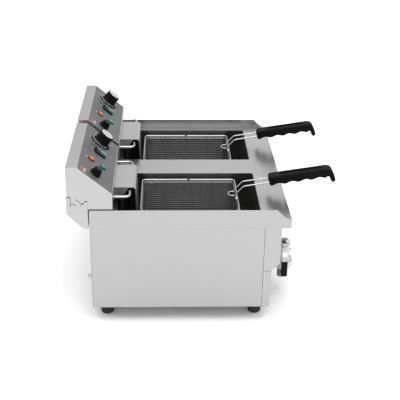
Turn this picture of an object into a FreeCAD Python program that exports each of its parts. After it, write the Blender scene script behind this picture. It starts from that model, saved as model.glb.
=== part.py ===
"""Countertop electric deep fryer with two tanks, two tilting heads and two baskets.

Frame: +X is the user's right, -Y is the front, +Z is up, in millimetres. The origin is at the
middle of the object's box, on the surface that the feet stand on.

Every sub-part is drawn on the bench axes, where y = -(distance forward of the cabinet's rear face),
and is then placed by its own Placement. A point of a side view is written as (forward, height).
"""
import FreeCAD, Part
import math
import os
import Sketcher

os.makedirs("parts", exist_ok=True)
doc = FreeCAD.newDocument("deep_fryer")
Vector = FreeCAD.Vector
X_AXIS = Vector(1, 0, 0)
EACH_SIDE = (("left", -1), ("right", 1))

# ---------------------------------------------------------------- driving dimensions
DRIVING = {
    # cabinet
    "sheet": 1.2, "cabinet_wide": 573.8, "cabinet_deep": 410.0, "cabinet_high": 206.6,
    "foot_high": 37.4, "foot_wide": 34.0, "foot_taper": 2.0, "foot_edge": 2.0,
    "foot_inset": 30.0, "foot_side_inset": 44.0,
    "seam_back": 18.0, "nose_out": 19.5, "nose_drop": 92.0, "nose_slant": 20.0, "base_lip": 14.0,
    "panel_gap": 0.3, "apron_clear": 2.0,
    "louvre_rise": 120.0, "louvre_long": 110.0, "louvre_step": 16.0, "louvre_high": 5.0,
    # worktop
    "deck_rise": 26.4, "rim_rise": 18.2, "deck_overhang": 40.0, "skirt_gap": 0.5,
    "apron_fall": 4.6, "apron_run": 34.0, "apron_edge": 8.0, "rim_end": 33.0, "rim_slant": 14.0,
    # tanks
    "tank_wide": 212.0, "tank_back": 58.4, "tank_front_land": 25.6, "tank_high": 155.0,
    "tank_round": 6.0, "tank_foot_round": 5.0, "tank_sheet": 1.0,
    "pipe_wide": 19.0, "pipe_bore": 16.0, "pipe_rise": 11.6, "pipe_out": 20.0,
    # heads
    "middle_gap": 22.0, "side_gap": 1.9, "head_gap": 0.4, "head_high": 101.0, "head_front": 52.0,
    "head_back": 48.0, "head_top_run": 25.0, "fascia_slope": 40.0, "head_chamfer": 11.0,
    "fascia_thick": 1.5, "fit_gap": 0.1,
    # hinge
    "pivot_back": 34.5, "pivot_rise": 8.5, "slot_wide": 11.0, "running": 0.05, "cheek_gap": 0.4,
    "lobe_reach": 17.4, "cheek_tall": 31.0, "trough_lip": 8.0, "trough_drop": 45.6,
    "bracket_back": 50.0, "bracket_front": 2.6, "trough_chamfer": 36.0,
    "tooth_out": 3.0, "tooth_deep": 3.0, "tooth_rise": 8.0, "cheek_rise": 12.5, "corner_cut": 2.0,
    # heater bracket and hang rod
    "shield_wide": 128.0, "shield_rise": 21.5, "shield_run": 51.6, "guard_high": 145.0,
    "guard_lean": 3.0, "shield_bend": 5.0, "shield_foot": 2.0, "shield_cheek": 34.0, "cheek_foot": 20.0,
    "rod_thick": 6.0, "rod_half": 99.0, "rod_out": 36.0, "rod_rise": 14.0,
    # heating element and probes
    "tube_thick": 8.0, "tube_pitch": 20.0, "tube_inner": 16.0, "tube_clear": 24.6,
    "tube_front_gap": 54.4, "leg_out": 24.0, "leg_rise": 9.0,
    "probe_thick": 6.0, "probe_out": 38.0, "probe_rise": 5.0, "probe_half": 26.0, "probe_high": 120.0,
    # basket
    "basket_wide": 179.0, "basket_back_gap": 51.1, "basket_front_gap": 44.2, "basket_clear": 16.8,
    "basket_sink": 9.6, "rim_wire": 4.6, "rib_wire": 3.0, "rim_spacing": 6.5, "mesh_wall": 1.6,
    "basket_round": 14.0, "basket_foot": 6.0, "wire_half": 14.0, "wire_half_grip": 12.4,
    "handle_wire": 4.6, "handle_root_deep": 34.0, "handle_knee_out": 12.0, "handle_knee_rise": 28.0,
    "handle_rise": 5.0, "post_rise": 13.0, "catch_reach": 15.0, "brace_drop": 30.0,
    # grip
    "grip_wide": 31.0, "grip_high": 23.0, "grip_from_tank": 26.0, "grip_long": 157.2,
    "grip_rise": 29.8, "grip_tilt": 9.0, "wire_in_grip": 46.0, "wire_sink": 2.0, "grip_chamfer": 6.6,
    "nose_round": 11.0, "nose_slope": 5.0, "hook_long": 14.0, "hook_deep": 6.0,
    "scallop": 15.0, "scallop_deep": 4.0, "scallop_pitch": 31.5, "scallop_first": 23.0,
    # controls, measured down the slope and across from the head's middle
    "knob_across": 84.0, "knob_down": 46.0, "knob_wide": 38.0, "skirt_wide": 53.0, "knob_high": 29.0,
    "shaft_wide": 6.0, "bush_wide": 10.0, "knob_lift": 0.6, "thermostat_wide": 38.0,
    "thermostat_high": 26.0,
    "rocker_across": 22.0, "rocker_down": 50.0, "rocker_long": 33.0, "rocker_wide": 26.0,
    "rocker_tilt": 10.0, "rocker_bezel": 3.0, "rocker_deep": 24.0, "rocker_frame": 2.9,
    "rocker_pivot": 3.0, "rocker_end": 10.5, "rocker_dip": 2.0, "rocker_tail": 6.0,
    "lamp_across": -41.0, "amber_down": 31.0, "green_down": 64.0, "lamp_wide": 17.0,
    "lamp_high": 6.0, "lamp_body": 18.0,
    "reset_across": -100.0, "reset_down": 47.0, "reset_wide": 20.0, "reset_high": 16.0,
    "reset_travel": 3.0, "collar_wide": 26.0, "collar_high": 8.0, "collar_body": 22.0,
    "collar_well": 8.0,
    # taps
    "tap_out": 47.0, "socket_out": 10.0, "inlet_wide": 28.0, "housing_wide": 34.0, "dome_rise": 14.5,
    "hexagon_wide": 39.0, "hexagon_drop": 8.0, "hexagon_high": 7.0, "union_wide": 47.0,
    "union_drop": 46.0, "union_half": 7.0, "spout_wide": 27.0, "spout_end": 41.0, "ball_wide": 24.0,
    "stem_wide": 8.0, "boss_wide": 16.0, "boss_out": 3.0, "nut_high": 3.0,
    "lever_wide": 11.6, "lever_thick": 2.5, "lever_up": 13.0, "lever_step": 8.2, "step_drop": 10.0,
    "sleeve_wide": 15.5, "sleeve_thick": 8.0, "sleeve_drop": 33.5, "sleeve_long": 37.5,
    "lever_in_sleeve": 30.0,
    # small fittings
    "screw_head": 2.5, "screw_wide": 8.4, "screw_drop": 52.0, "screw_inset": 20.0, "slot_thin": 1.0,
    "stud_wide": 8.0, "stud_out": 12.0, "stud_rise": 62.0, "stud_inset": 40.0,
    "gland_wide": 14.0, "gland_drop": 10.0, "gland_in": 14.0, "gland_wall": 3.0,
}

sheet = doc.addObject("Spreadsheet::Sheet", "sizes")
for row, (alias, number) in enumerate(DRIVING.items(), 1):
    sheet.set(f"A{row}", alias)
    sheet.set(f"B{row}", str(number))
    sheet.setAlias(f"B{row}", alias)
doc.recompute()


class Size:
    """A length as an expression on the sheet's cells, with its present value."""

    def __init__(self, text, number):
        self.text = text
        self.number = number

    def __add__(self, other):
        other = size(other)
        return Size(f"({self.text} + {other.text})", self.number + other.number)

    def __sub__(self, other):
        other = size(other)
        return Size(f"({self.text} - {other.text})", self.number - other.number)

    def __mul__(self, other):
        other = size(other)
        return Size(f"({self.text} * {other.text})", self.number * other.number)

    def __truediv__(self, other):
        other = size(other)
        return Size(f"({self.text} / {other.text})", self.number / other.number)

    def __rsub__(self, other):
        return size(other) - self

    def __neg__(self):
        return Size(f"(0 - {self.text})", -self.number)

    def __float__(self):
        return float(self.number)

    __radd__ = __add__
    __rmul__ = __mul__


def size(value):
    """A number or a Size as a Size."""
    return value if isinstance(value, Size) else Size(f"({float(value)!r})", float(value))


def cell(alias):
    """The Size that a cell of the sheet holds."""
    return Size(f"{sheet.Name}.{alias}", float(sheet.get(alias)))


def turn_of(angle, name):
    """The sine, cosine or tangent of a Size in degrees."""
    number = {"sin": math.sin, "cos": math.cos, "tan": math.tan}[name](math.radians(angle.number))
    return Size(f"{name}({angle.text} * 1 deg)", number)


D = {alias: cell(alias) for alias in DRIVING}

# ---------------------------------------------------------------- places worked out from them
wall = D["sheet"]
cabinet_half = D["cabinet_wide"] / 2
cabinet_top = D["foot_high"] + D["cabinet_high"]
deck_level = cabinet_top + D["deck_rise"]
rim_level = deck_level + D["rim_rise"]
deck_half = cabinet_half + D["skirt_gap"] + wall
deck_front = D["cabinet_deep"] + D["deck_overhang"]
apron_back = deck_front - D["apron_edge"] - D["apron_run"]
apron_level = deck_level - D["apron_fall"]

head_wide = cabinet_half - D["middle_gap"] / 2 - D["side_gap"]
head_half = head_wide / 2
unit_half = D["middle_gap"] / 2 + head_half
head_low = rim_level + D["head_gap"]
head_top = head_low + D["head_high"]
slope_top = D["head_top_run"] - D["head_back"]
slope_run = D["head_front"] - slope_top
slope_long = slope_run / turn_of(D["fascia_slope"], "cos")
lip_level = head_top - slope_run * turn_of(D["fascia_slope"], "tan")
pivot_level = head_low + D["pivot_rise"]
pin_wide = D["slot_wide"] - D["running"] * 2

tank_deep = D["cabinet_deep"] - D["tank_back"] - D["tank_front_land"]
tank_front = D["tank_back"] + tank_deep
tank_floor = deck_level - D["tank_high"]
pipe_level = tank_floor + D["pipe_rise"]

rod_level = head_low + D["rod_rise"]
shield_top = head_low + D["shield_rise"]
shield_front = D["head_front"] + D["shield_run"]

basket_back = D["tank_back"] + D["basket_back_gap"]
basket_front = tank_front - D["basket_front_gap"]
basket_rim = deck_level - D["basket_sink"]
tube_level = tank_floor + D["tube_clear"]
basket_low = tube_level + D["tube_thick"] / 2 + D["basket_clear"]
grip_back = tank_front + D["grip_from_tank"]
grip_level = deck_level + D["grip_rise"]
grip_tip = grip_back + D["grip_long"]

tap_front = D["cabinet_deep"] + D["tap_out"]

rear_reach = D["head_back"] + D["screw_head"]
datum = (grip_tip - rear_reach) / 2


# ---------------------------------------------------------------- helpers
def bind(thing, path, value):
    """Tie one property of an object to a Size."""
    thing.setExpression(path, size(value).text)


def place(thing, across=0, forward=0, height=0, tilt=None):
    """Put a sub-part in the object's frame: its Placement turns it about X and then moves it."""
    if tilt is not None:
        thing.Placement = FreeCAD.Placement(Vector(), FreeCAD.Rotation(X_AXIS, float(tilt)))
        bind(thing, "Placement.Rotation.Angle", tilt)
    bind(thing, "Placement.Base.x", across)
    bind(thing, "Placement.Base.y", datum - forward)
    bind(thing, "Placement.Base.z", height)
    return thing


def origin_plane(body, role):
    """One of a body's own origin planes."""
    return next(item for item in body.Origin.OriginFeatures if item.Role == role)


def new_body(label):
    body = doc.addObject("PartDesign::Body", label)
    body.Label = label
    return body


def new_sketch(body, role, offset=None):
    """A sketch on an origin plane, moved along the plane's normal by offset."""
    sketch = body.newObject("Sketcher::SketchObject", f"{body.Name}_sketch")
    sketch.AttachmentSupport = [(origin_plane(body, role), "")]
    sketch.MapMode = "FlatFace"
    if offset is not None:
        bind(sketch, "AttachmentOffset.Base.z", offset)
    return sketch


def tie(sketch, kind, index, corner, value):
    """Hold one coordinate of a sketch point at a Size from the sketch's origin."""
    number = float(value)
    constraint = sketch.addConstraint(Sketcher.Constraint(kind, -1, 1, index, corner, number))
    sketch.setExpression(f"Constraints[{constraint}]", size(value).text)


def draw_polygon(sketch, points):
    """A closed polygon with every corner held by two dimensions."""
    first = sketch.GeometryCount
    count = len(points)
    spots = [Vector(float(a), float(b), 0) for a, b in points]
    for index in range(count):
        sketch.addGeometry(Part.LineSegment(spots[index], spots[(index + 1) % count]), False)
    for index in range(count):
        here, after = first + index, first + (index + 1) % count
        sketch.addConstraint(Sketcher.Constraint("Coincident", here, 2, after, 1))
    for index, (a, b) in enumerate(points):
        tie(sketch, "DistanceX", first + index, 1, a)
        tie(sketch, "DistanceY", first + index, 1, b)


def draw_circle(sketch, a, b, diameter):
    """A circle held by its centre and its diameter."""
    spot = Vector(float(a), float(b), 0)
    index = sketch.addGeometry(Part.Circle(spot, Vector(0, 0, 1), float(diameter) / 2), False)
    tie(sketch, "DistanceX", index, 3, a)
    tie(sketch, "DistanceY", index, 3, b)
    held = sketch.addConstraint(Sketcher.Constraint("Diameter", index, float(diameter)))
    sketch.setExpression(f"Constraints[{held}]", size(diameter).text)


def side_view(points):
    """(forward, height) pairs as the points of a sketch on the YZ plane."""
    return [(-size(forward), height) for forward, height in points]


def box_points(low_a, low_b, high_a, high_b):
    return [(low_a, low_b), (high_a, low_b), (high_a, high_b), (low_a, high_b)]


def solid_feature(body, kind, sketch, length, centred):
    feature = body.newObject(f"PartDesign::{kind}", f"{body.Name}_{kind.lower()}")
    feature.Profile = sketch
    feature.Midplane = centred
    bind(feature, "Length", length)
    body.Tip = feature
    doc.recompute()
    return feature


def pad(body, role, outlines, length, offset=None, centred=False):
    """Add material along the plane's normal, from offset or centred on the plane."""
    sketch = new_sketch(body, role, offset)
    for outline in outlines:
        draw_circle(sketch, *outline) if len(outline) == 3 else draw_polygon(sketch, outline)
    return solid_feature(body, "Pad", sketch, length, centred)


def pocket(body, role, outlines, length, offset=None, centred=True):
    """Take material away. Uncentred, it cuts against the plane's normal from offset."""
    sketch = new_sketch(body, role, offset)
    for outline in outlines:
        draw_circle(sketch, *outline) if len(outline) == 3 else draw_polygon(sketch, outline)
    before = body.Shape.Volume
    feature = solid_feature(body, "Pocket", sketch, length, centred)
    if not feature.Shape.Volume < before - 0.01:
        raise RuntimeError(f"{body.Label}: a pocket cuts nothing")
    return feature


def revolve(body, profile, across=0, forward=0):
    """Turn a profile of (radius, height) points about a vertical line."""
    sketch = new_sketch(body, "XZ_Plane", forward)
    draw_polygon(sketch, [(size(across) + radius, height) for radius, height in profile])
    axis = sketch.addGeometry(Part.LineSegment(Vector(float(across), -1, 0),
                                               Vector(float(across), 1, 0)), True)
    sketch.addConstraint(Sketcher.Constraint("Vertical", axis))
    tie(sketch, "DistanceX", axis, 1, across)
    feature = body.newObject("PartDesign::Revolution", f"{body.Name}_revolution")
    feature.Profile = sketch
    feature.ReferenceAxis = (sketch, ["Axis0"])
    feature.Angle = 360
    body.Tip = feature
    doc.recompute()
    return feature


def picked_edges(shape, test):
    return [f"Edge{number}" for number, edge in enumerate(shape.Edges, 1) if test(edge)]


def runs_along(axis):
    """A test for straight edges that run along an axis."""
    def test(edge):
        if edge.Curve.TypeId != "Part::GeomLine":
            return False
        return abs(abs(edge.Curve.Direction.dot(axis)) - 1) < 1e-6
    return test


def round_edges(body, radius, test):
    """Fillet the edges of a body's tip that pass a test."""
    tip = body.Tip
    feature = body.newObject("PartDesign::Fillet", f"{body.Name}_fillet")
    feature.Base = (tip, picked_edges(tip.Shape, test))
    bind(feature, "Radius", radius)
    body.Tip = feature
    doc.recompute()
    return feature


def hollow(body, thickness, opens):
    """Turn a solid into an inward shell, open at the faces that pass a test."""
    tip = body.Tip
    names = [f"Face{number}" for number, face in enumerate(tip.Shape.Faces, 1) if opens(face)]
    feature = body.newObject("PartDesign::Thickness", f"{body.Name}_thickness")
    feature.Base = (tip, names)
    feature.Mode = "Skin"
    feature.Join = "Intersection"
    feature.Reversed = True
    bind(feature, "Value", thickness)
    body.Tip = feature
    doc.recompute()
    return feature


def faces_way(*directions):
    """A test for flat faces whose outward normal points one of several ways."""
    def test(face):
        if face.Surface.TypeId != "Part::GeomPlane":
            return False
        normal = face.normalAt(0, 0)
        return any(normal.dot(direction) > 0.999 for direction in directions)
    return test


def bent_path(points, bend):
    """A wire of straight runs joined by tangent arcs. Points are (across, forward, height)."""
    spots = [Vector(float(a), -float(f), float(h)) for a, f, h in points]
    cuts = {}
    for index in range(1, len(spots) - 1):
        here = spots[index]
        back = (spots[index - 1] - here).normalize()
        ahead = (spots[index + 1] - here).normalize()
        half = back.getAngle(ahead) / 2
        reach = float(bend) / math.tan(half)
        middle = here + (back + ahead).normalize() * (float(bend) / math.sin(half) - float(bend))
        cuts[index] = (here + back * reach, middle, here + ahead * reach)
    edges = []
    for index in range(len(spots) - 1):
        after = index + 1
        start = cuts[index][2] if index in cuts else spots[index]
        end = cuts[after][0] if after in cuts else spots[after]
        edges.append(Part.LineSegment(start, end).toShape())
        if after in cuts:
            edges.append(Part.Arc(*cuts[after]).toShape())
    return Part.Wire(edges)


def rod_shape(points, thickness, bend):
    """A round bar bent along a path."""
    path = bent_path(points, bend)
    first = path.Edges[0]
    start = first.valueAt(first.FirstParameter)
    ring = Part.Circle(start, first.tangentAt(first.FirstParameter), float(thickness) / 2)
    solid = path.makePipeShell([Part.Wire([ring.toShape()])], True, False)
    if solid.Volume < 0:
        solid.reverse()
    return solid


def shape_part(label, shape):
    """A sub-part whose shape is a bent bar or tube in space."""
    thing = doc.addObject("Part::Feature", label)
    thing.Label = label
    thing.Shape = shape
    return thing


def group(label, members):
    """Like pieces that share one sub-part."""
    thing = doc.addObject("Part::Compound", label)
    thing.Label = label
    thing.Links = members
    doc.recompute()
    return thing


UP, DOWN = Vector(0, 0, 1), Vector(0, 0, -1)
REARWARD = Vector(0, 1, 0)
parts = []


def keep(thing):
    """Add a finished sub-part to the list that is written out."""
    parts.append(thing)
    return thing


# ---------------------------------------------------------------- cabinet
def make_worktop():
    """Folded worktop: side rims, sloped apron, front lip and two tank openings."""
    body = new_body("worktop")
    rim_front = deck_front - D["rim_end"]
    lip = apron_level + wall
    outer = [(0, cabinet_top), (0, rim_level), (rim_front, rim_level),
             (rim_front + D["rim_slant"], rim_level - D["rim_slant"]),
             (deck_front - D["apron_edge"], lip), (deck_front, lip), (deck_front, cabinet_top)]
    pad(body, "YZ_Plane", [side_view(outer)], deck_half * 2, centred=True)
    inner_wide = (deck_half - wall) * 2
    over = rim_level + D["rim_rise"]
    apron_front = deck_front - D["apron_edge"]
    above = [(wall, over), (wall, deck_level), (apron_back, deck_level),
             (apron_front, apron_level), (deck_front + wall, apron_level), (deck_front + wall, over)]
    pocket(body, "YZ_Plane", [side_view(above)], inner_wide)
    under = cabinet_top - wall
    below = [(wall, under), (wall, deck_level - wall), (apron_back, deck_level - wall),
             (apron_front, apron_level - wall), (deck_front - wall, apron_level - wall),
             (deck_front - wall, under)]
    pocket(body, "YZ_Plane", [side_view(below)], inner_wide)
    windows = [box_points(unit_half * way - D["tank_wide"] / 2, -tank_front,
                          unit_half * way + D["tank_wide"] / 2, -D["tank_back"])
               for _, way in EACH_SIDE]
    pocket(body, "XY_Plane", windows, wall * 2, offset=deck_level - wall / 2)
    low, high = float(D["tank_back"]), float(tank_front)

    def window_corner(edge):
        spot = edge.CenterOfMass
        upright = runs_along(UP)(edge) and edge.Length < float(wall) * 1.5
        at_end = min(abs(-spot.y - low), abs(-spot.y - high)) < 0.01
        return upright and at_end and abs(spot.x) < float(cabinet_half - wall)

    round_edges(body, D["tank_round"], window_corner)
    keep(place(body))


def make_cabinet():
    """Side panels, rear panel, base plate and the folded front panel with its nose."""
    seam = D["cabinet_deep"] - D["seam_back"]
    panel_top = deck_level - wall - D["panel_gap"]
    for side, way in EACH_SIDE:
        body = new_body(f"side_panel_{side}")
        outline = box_points(-seam + D["panel_gap"], D["foot_high"], -wall - D["panel_gap"], panel_top)
        start = cabinet_half - wall if way > 0 else -cabinet_half
        pad(body, "YZ_Plane", [outline], wall, offset=start)
        keep(place(body))

    rear = new_body("rear_panel")
    inner_half = cabinet_half - wall - D["panel_gap"]
    pad(rear, "XZ_Plane", [box_points(-cabinet_half, D["foot_high"], cabinet_half,
                                      cabinet_top - D["panel_gap"])], wall, offset=0)
    slots = []
    for _, way in EACH_SIDE:
        for row in range(4):
            low = D["foot_high"] + D["louvre_rise"] + D["louvre_step"] * row
            slots.append(box_points(unit_half * way - D["louvre_long"] / 2, low,
                                    unit_half * way + D["louvre_long"] / 2, low + D["louvre_high"]))
    pocket(rear, "XZ_Plane", slots, wall * 4)
    keep(place(rear))

    base = new_body("base_plate")
    front_inside = D["cabinet_deep"] - wall - D["panel_gap"]
    pad(base, "XY_Plane", [box_points(-inner_half, -front_inside, inner_half,
                                      -wall - D["panel_gap"])], D["base_lip"], offset=D["foot_high"])
    hollow(base, wall, faces_way(UP))
    keep(place(base))

    front = new_body("front_panel")
    nose = D["cabinet_deep"] + D["nose_out"]
    nose_low = cabinet_top - D["nose_drop"]
    top = apron_level - wall - D["apron_clear"]
    outline = [(seam, D["foot_high"]), (D["cabinet_deep"], D["foot_high"]),
               (D["cabinet_deep"], nose_low - D["nose_slant"]), (nose, nose_low), (nose, top), (seam, top)]
    pad(front, "YZ_Plane", [side_view(outline)], cabinet_half * 2, centred=True)
    hollow(front, wall, faces_way(UP, DOWN, REARWARD))
    holes = [(unit_half * way, pipe_level, D["pipe_wide"] + D["panel_gap"] * 2) for _, way in EACH_SIDE]
    pocket(front, "XZ_Plane", holes, wall * 8, offset=D["cabinet_deep"])
    keep(place(front))


def make_feet():
    """Four tapered feet under the base plate."""
    feet = []
    top, low = D["foot_wide"] / 2, D["foot_wide"] / 2 - D["foot_taper"]
    for side, way in EACH_SIDE:
        for end in ("rear", "front"):
            foot = new_body(f"foot_{end}_{side}")
            inset = D["foot_inset"]
            forward = inset if end == "rear" else D["cabinet_deep"] - inset
            edge = D["foot_edge"]
            revolve(foot, [(0, 0), (low - edge, 0), (low, edge), (top, D["foot_high"]),
                           (0, D["foot_high"])], (cabinet_half - D["foot_side_inset"]) * way, forward)
            feet.append(foot)
    keep(place(group("feet", feet)))


def hexagon(a, b, corner):
    """The corners of a hexagon about (a, b), with that distance to each corner."""
    turns = [math.radians(60 * turn) for turn in range(6)]
    return [(a + corner * math.cos(turn), b + corner * math.sin(turn)) for turn in turns]


def make_bonding_stud():
    """Equipotential terminal low on the rear panel: a threaded stud with a hexagon nut."""
    body = new_body("bonding_stud")
    height, across = D["foot_high"] + D["stud_rise"], -cabinet_half + D["stud_inset"]
    pad(body, "XZ_Plane", [(across, height, D["stud_wide"])], D["stud_out"], offset=-D["stud_out"])
    pad(body, "XZ_Plane", [hexagon(across, height, D["stud_wide"] * 0.85)], D["stud_wide"] / 2,
        offset=-D["stud_wide"] / 2)
    keep(place(body))


# ---------------------------------------------------------------- tanks and taps
def make_tank(side, way):
    """Deep-drawn tank with its drain pipe welded to the front wall."""
    body = new_body(f"tank_{side}")
    half = D["tank_wide"] / 2
    pad(body, "XY_Plane", [box_points(-half, -tank_front, half, -D["tank_back"])],
        D["tank_high"], offset=tank_floor)
    round_edges(body, D["tank_round"], runs_along(UP))
    floor = float(tank_floor)
    round_edges(body, D["tank_foot_round"], lambda edge: abs(edge.CenterOfMass.z - floor) < 0.01)
    hollow(body, D["tank_sheet"], faces_way(UP))
    pipe_long = D["cabinet_deep"] - tank_front + D["pipe_out"]
    pad(body, "XZ_Plane", [(0, pipe_level, D["pipe_wide"])], pipe_long + D["tank_sheet"] / 2,
        offset=tank_front - D["tank_sheet"] / 2)
    pocket(body, "XZ_Plane", [(0, pipe_level, D["pipe_bore"])], pipe_long + 4,
           offset=tank_front + pipe_long + 1, centred=False)
    keep(place(body, unit_half * way))


def make_tap(side, way):
    """Angle tap: inlet, domed ball housing with a side boss, hexagon, round union and spout, bored."""
    body = new_body(f"tap_{side}")
    socket_from = D["cabinet_deep"] + D["socket_out"]
    pad(body, "XZ_Plane", [(0, pipe_level, D["inlet_wide"])], tap_front - socket_from, offset=socket_from)
    radius, top = D["housing_wide"] / 2, pipe_level + D["dome_rise"]
    hexagon_top = pipe_level - D["hexagon_drop"]
    hexagon_low = hexagon_top - D["hexagon_high"]
    middle, half, bulge = pipe_level - D["union_drop"], D["union_half"], D["union_wide"] / 2
    spout = D["spout_wide"] / 2
    revolve(body, [(0, top), (radius * 0.5, top), (radius * 0.85, top - radius * 0.2),
                   (radius, top - radius * 0.6), (radius, hexagon_top), (radius * 0.85, hexagon_low),
                   (radius * 0.85, middle + half * 2.6), (bulge * 0.85, middle + half * 1.9),
                   (bulge, middle + half), (bulge, middle - half), (bulge * 0.85, middle - half * 1.9),
                   (spout, middle - half * 2.6), (spout, D["spout_end"] + wall),
                   (spout - wall, D["spout_end"]), (0, D["spout_end"])], 0, tap_front)
    pad(body, "XY_Plane", [hexagon(0, -tap_front, D["hexagon_wide"] / 2)], D["hexagon_high"],
        offset=hexagon_low)
    face = radius + D["boss_out"]
    pad(body, "YZ_Plane", [(-tap_front, pipe_level, D["boss_wide"])], face, offset=-face)
    bore = D["pipe_bore"]
    pocket(body, "XZ_Plane", [(0, pipe_level, D["pipe_wide"] + D["running"] * 2)],
           D["pipe_out"] + D["panel_gap"], offset=D["cabinet_deep"] + D["pipe_out"] + D["panel_gap"],
           centred=False)
    pocket(body, "XZ_Plane", [(0, pipe_level, bore)], D["tap_out"], offset=tap_front, centred=False)
    pocket(body, "XY_Plane", [(0, -tap_front, bore)], pipe_level - D["spout_end"] + wall,
           offset=pipe_level, centred=False)
    pocket(body, "YZ_Plane", [(-tap_front, pipe_level, D["stem_wide"] + D["running"] * 2)], face + wall,
           offset=0, centred=False)
    seat = doc.addObject("Part::Sphere", f"ball_seat_{side}")
    bind(seat, "Radius", D["ball_wide"] / 2 + D["running"])
    bind(seat, "Placement.Base.y", -tap_front)
    bind(seat, "Placement.Base.z", pipe_level)
    bored = doc.addObject("Part::Cut", f"tap_casting_{side}")
    bored.Base, bored.Tool = body, seat
    body.Label = f"tap_blank_{side}"
    bored.Label = f"tap_{side}"
    doc.recompute()
    keep(place(bored, unit_half * way))


def make_lever(side, way):
    """Tap lever, stepped clear of the union, with its stem and its ball. The ball's bore turns a
    corner, and with the lever hanging down it faces up and rearward, so the tap is shut."""
    face = D["housing_wide"] / 2 + D["boss_out"]
    near, far = -face - D["panel_gap"], -face - D["panel_gap"] - D["lever_thick"]
    step_near, step_far = near - D["lever_step"], far - D["lever_step"]
    high, step_top = pipe_level + D["lever_up"], pipe_level - D["step_drop"]
    step_low = step_top - D["lever_step"]
    sleeve_top = pipe_level - D["sleeve_drop"]
    low = sleeve_top - D["lever_in_sleeve"]
    body = new_body(f"lever_blank_{side}")
    outline = [(near, high), (far, high), (far, step_top), (step_far, step_low), (step_far, low),
               (step_near, low), (step_near, step_low), (near, step_top)]
    pad(body, "XZ_Plane", [outline], D["lever_wide"], offset=tap_front, centred=True)
    level = float(high)
    round_edges(body, D["lever_wide"] / 2 - wall,
                lambda edge: runs_along(X_AXIS)(edge) and abs(edge.CenterOfMass.z - level) < 0.01)
    pad(body, "YZ_Plane", [(-tap_front, pipe_level, D["stem_wide"])], face + wall, offset=-face - wall)
    pad(body, "YZ_Plane", [hexagon(-tap_front, pipe_level, D["stem_wide"] * 0.8)],
        D["lever_thick"] + D["nut_high"], offset=far - D["nut_high"])
    ball = doc.addObject("Part::Sphere", f"ball_{side}")
    bind(ball, "Radius", D["ball_wide"] / 2)
    bores = [doc.addObject("Part::Cylinder", f"ball_bore_{end}_{side}") for end in ("up", "rear")]
    bores[1].Placement = FreeCAD.Placement(Vector(), FreeCAD.Rotation(X_AXIS, -90))
    for bore in bores:
        bind(bore, "Radius", D["pipe_bore"] / 2)
        bind(bore, "Height", D["ball_wide"])
    for thing in (ball, *bores):
        bind(thing, "Placement.Base.y", -tap_front)
        bind(thing, "Placement.Base.z", pipe_level)
    bored = doc.addObject("Part::MultiFuse", f"ball_bore_{side}")
    bored.Shapes = bores
    solid = doc.addObject("Part::Fuse", f"lever_solid_{side}")
    solid.Base, solid.Tool = body, ball
    lever = doc.addObject("Part::Cut", f"tap_lever_{side}")
    lever.Base, lever.Tool = solid, bored
    lever.Label = f"tap_lever_{side}"
    doc.recompute()
    keep(place(lever, unit_half * way))

    sleeve = new_body(f"lever_sleeve_{side}")
    middle = step_far + D["lever_thick"] / 2
    wide, thick = D["sleeve_wide"] / 2, D["sleeve_thick"] / 2
    pad(sleeve, "XY_Plane", [box_points(middle - thick, -tap_front - wide, middle + thick,
                                        -tap_front + wide)], D["sleeve_long"],
        offset=sleeve_top - D["sleeve_long"])
    round_edges(sleeve, thick - wall / 2, runs_along(UP))
    half = D["lever_wide"] / 2
    slot = [box_points(step_far, -tap_front - half, step_near, -tap_front + half)]
    pocket(sleeve, "XY_Plane", slot, D["lever_in_sleeve"], offset=sleeve_top, centred=False)
    keep(place(sleeve, unit_half * way))


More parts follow.
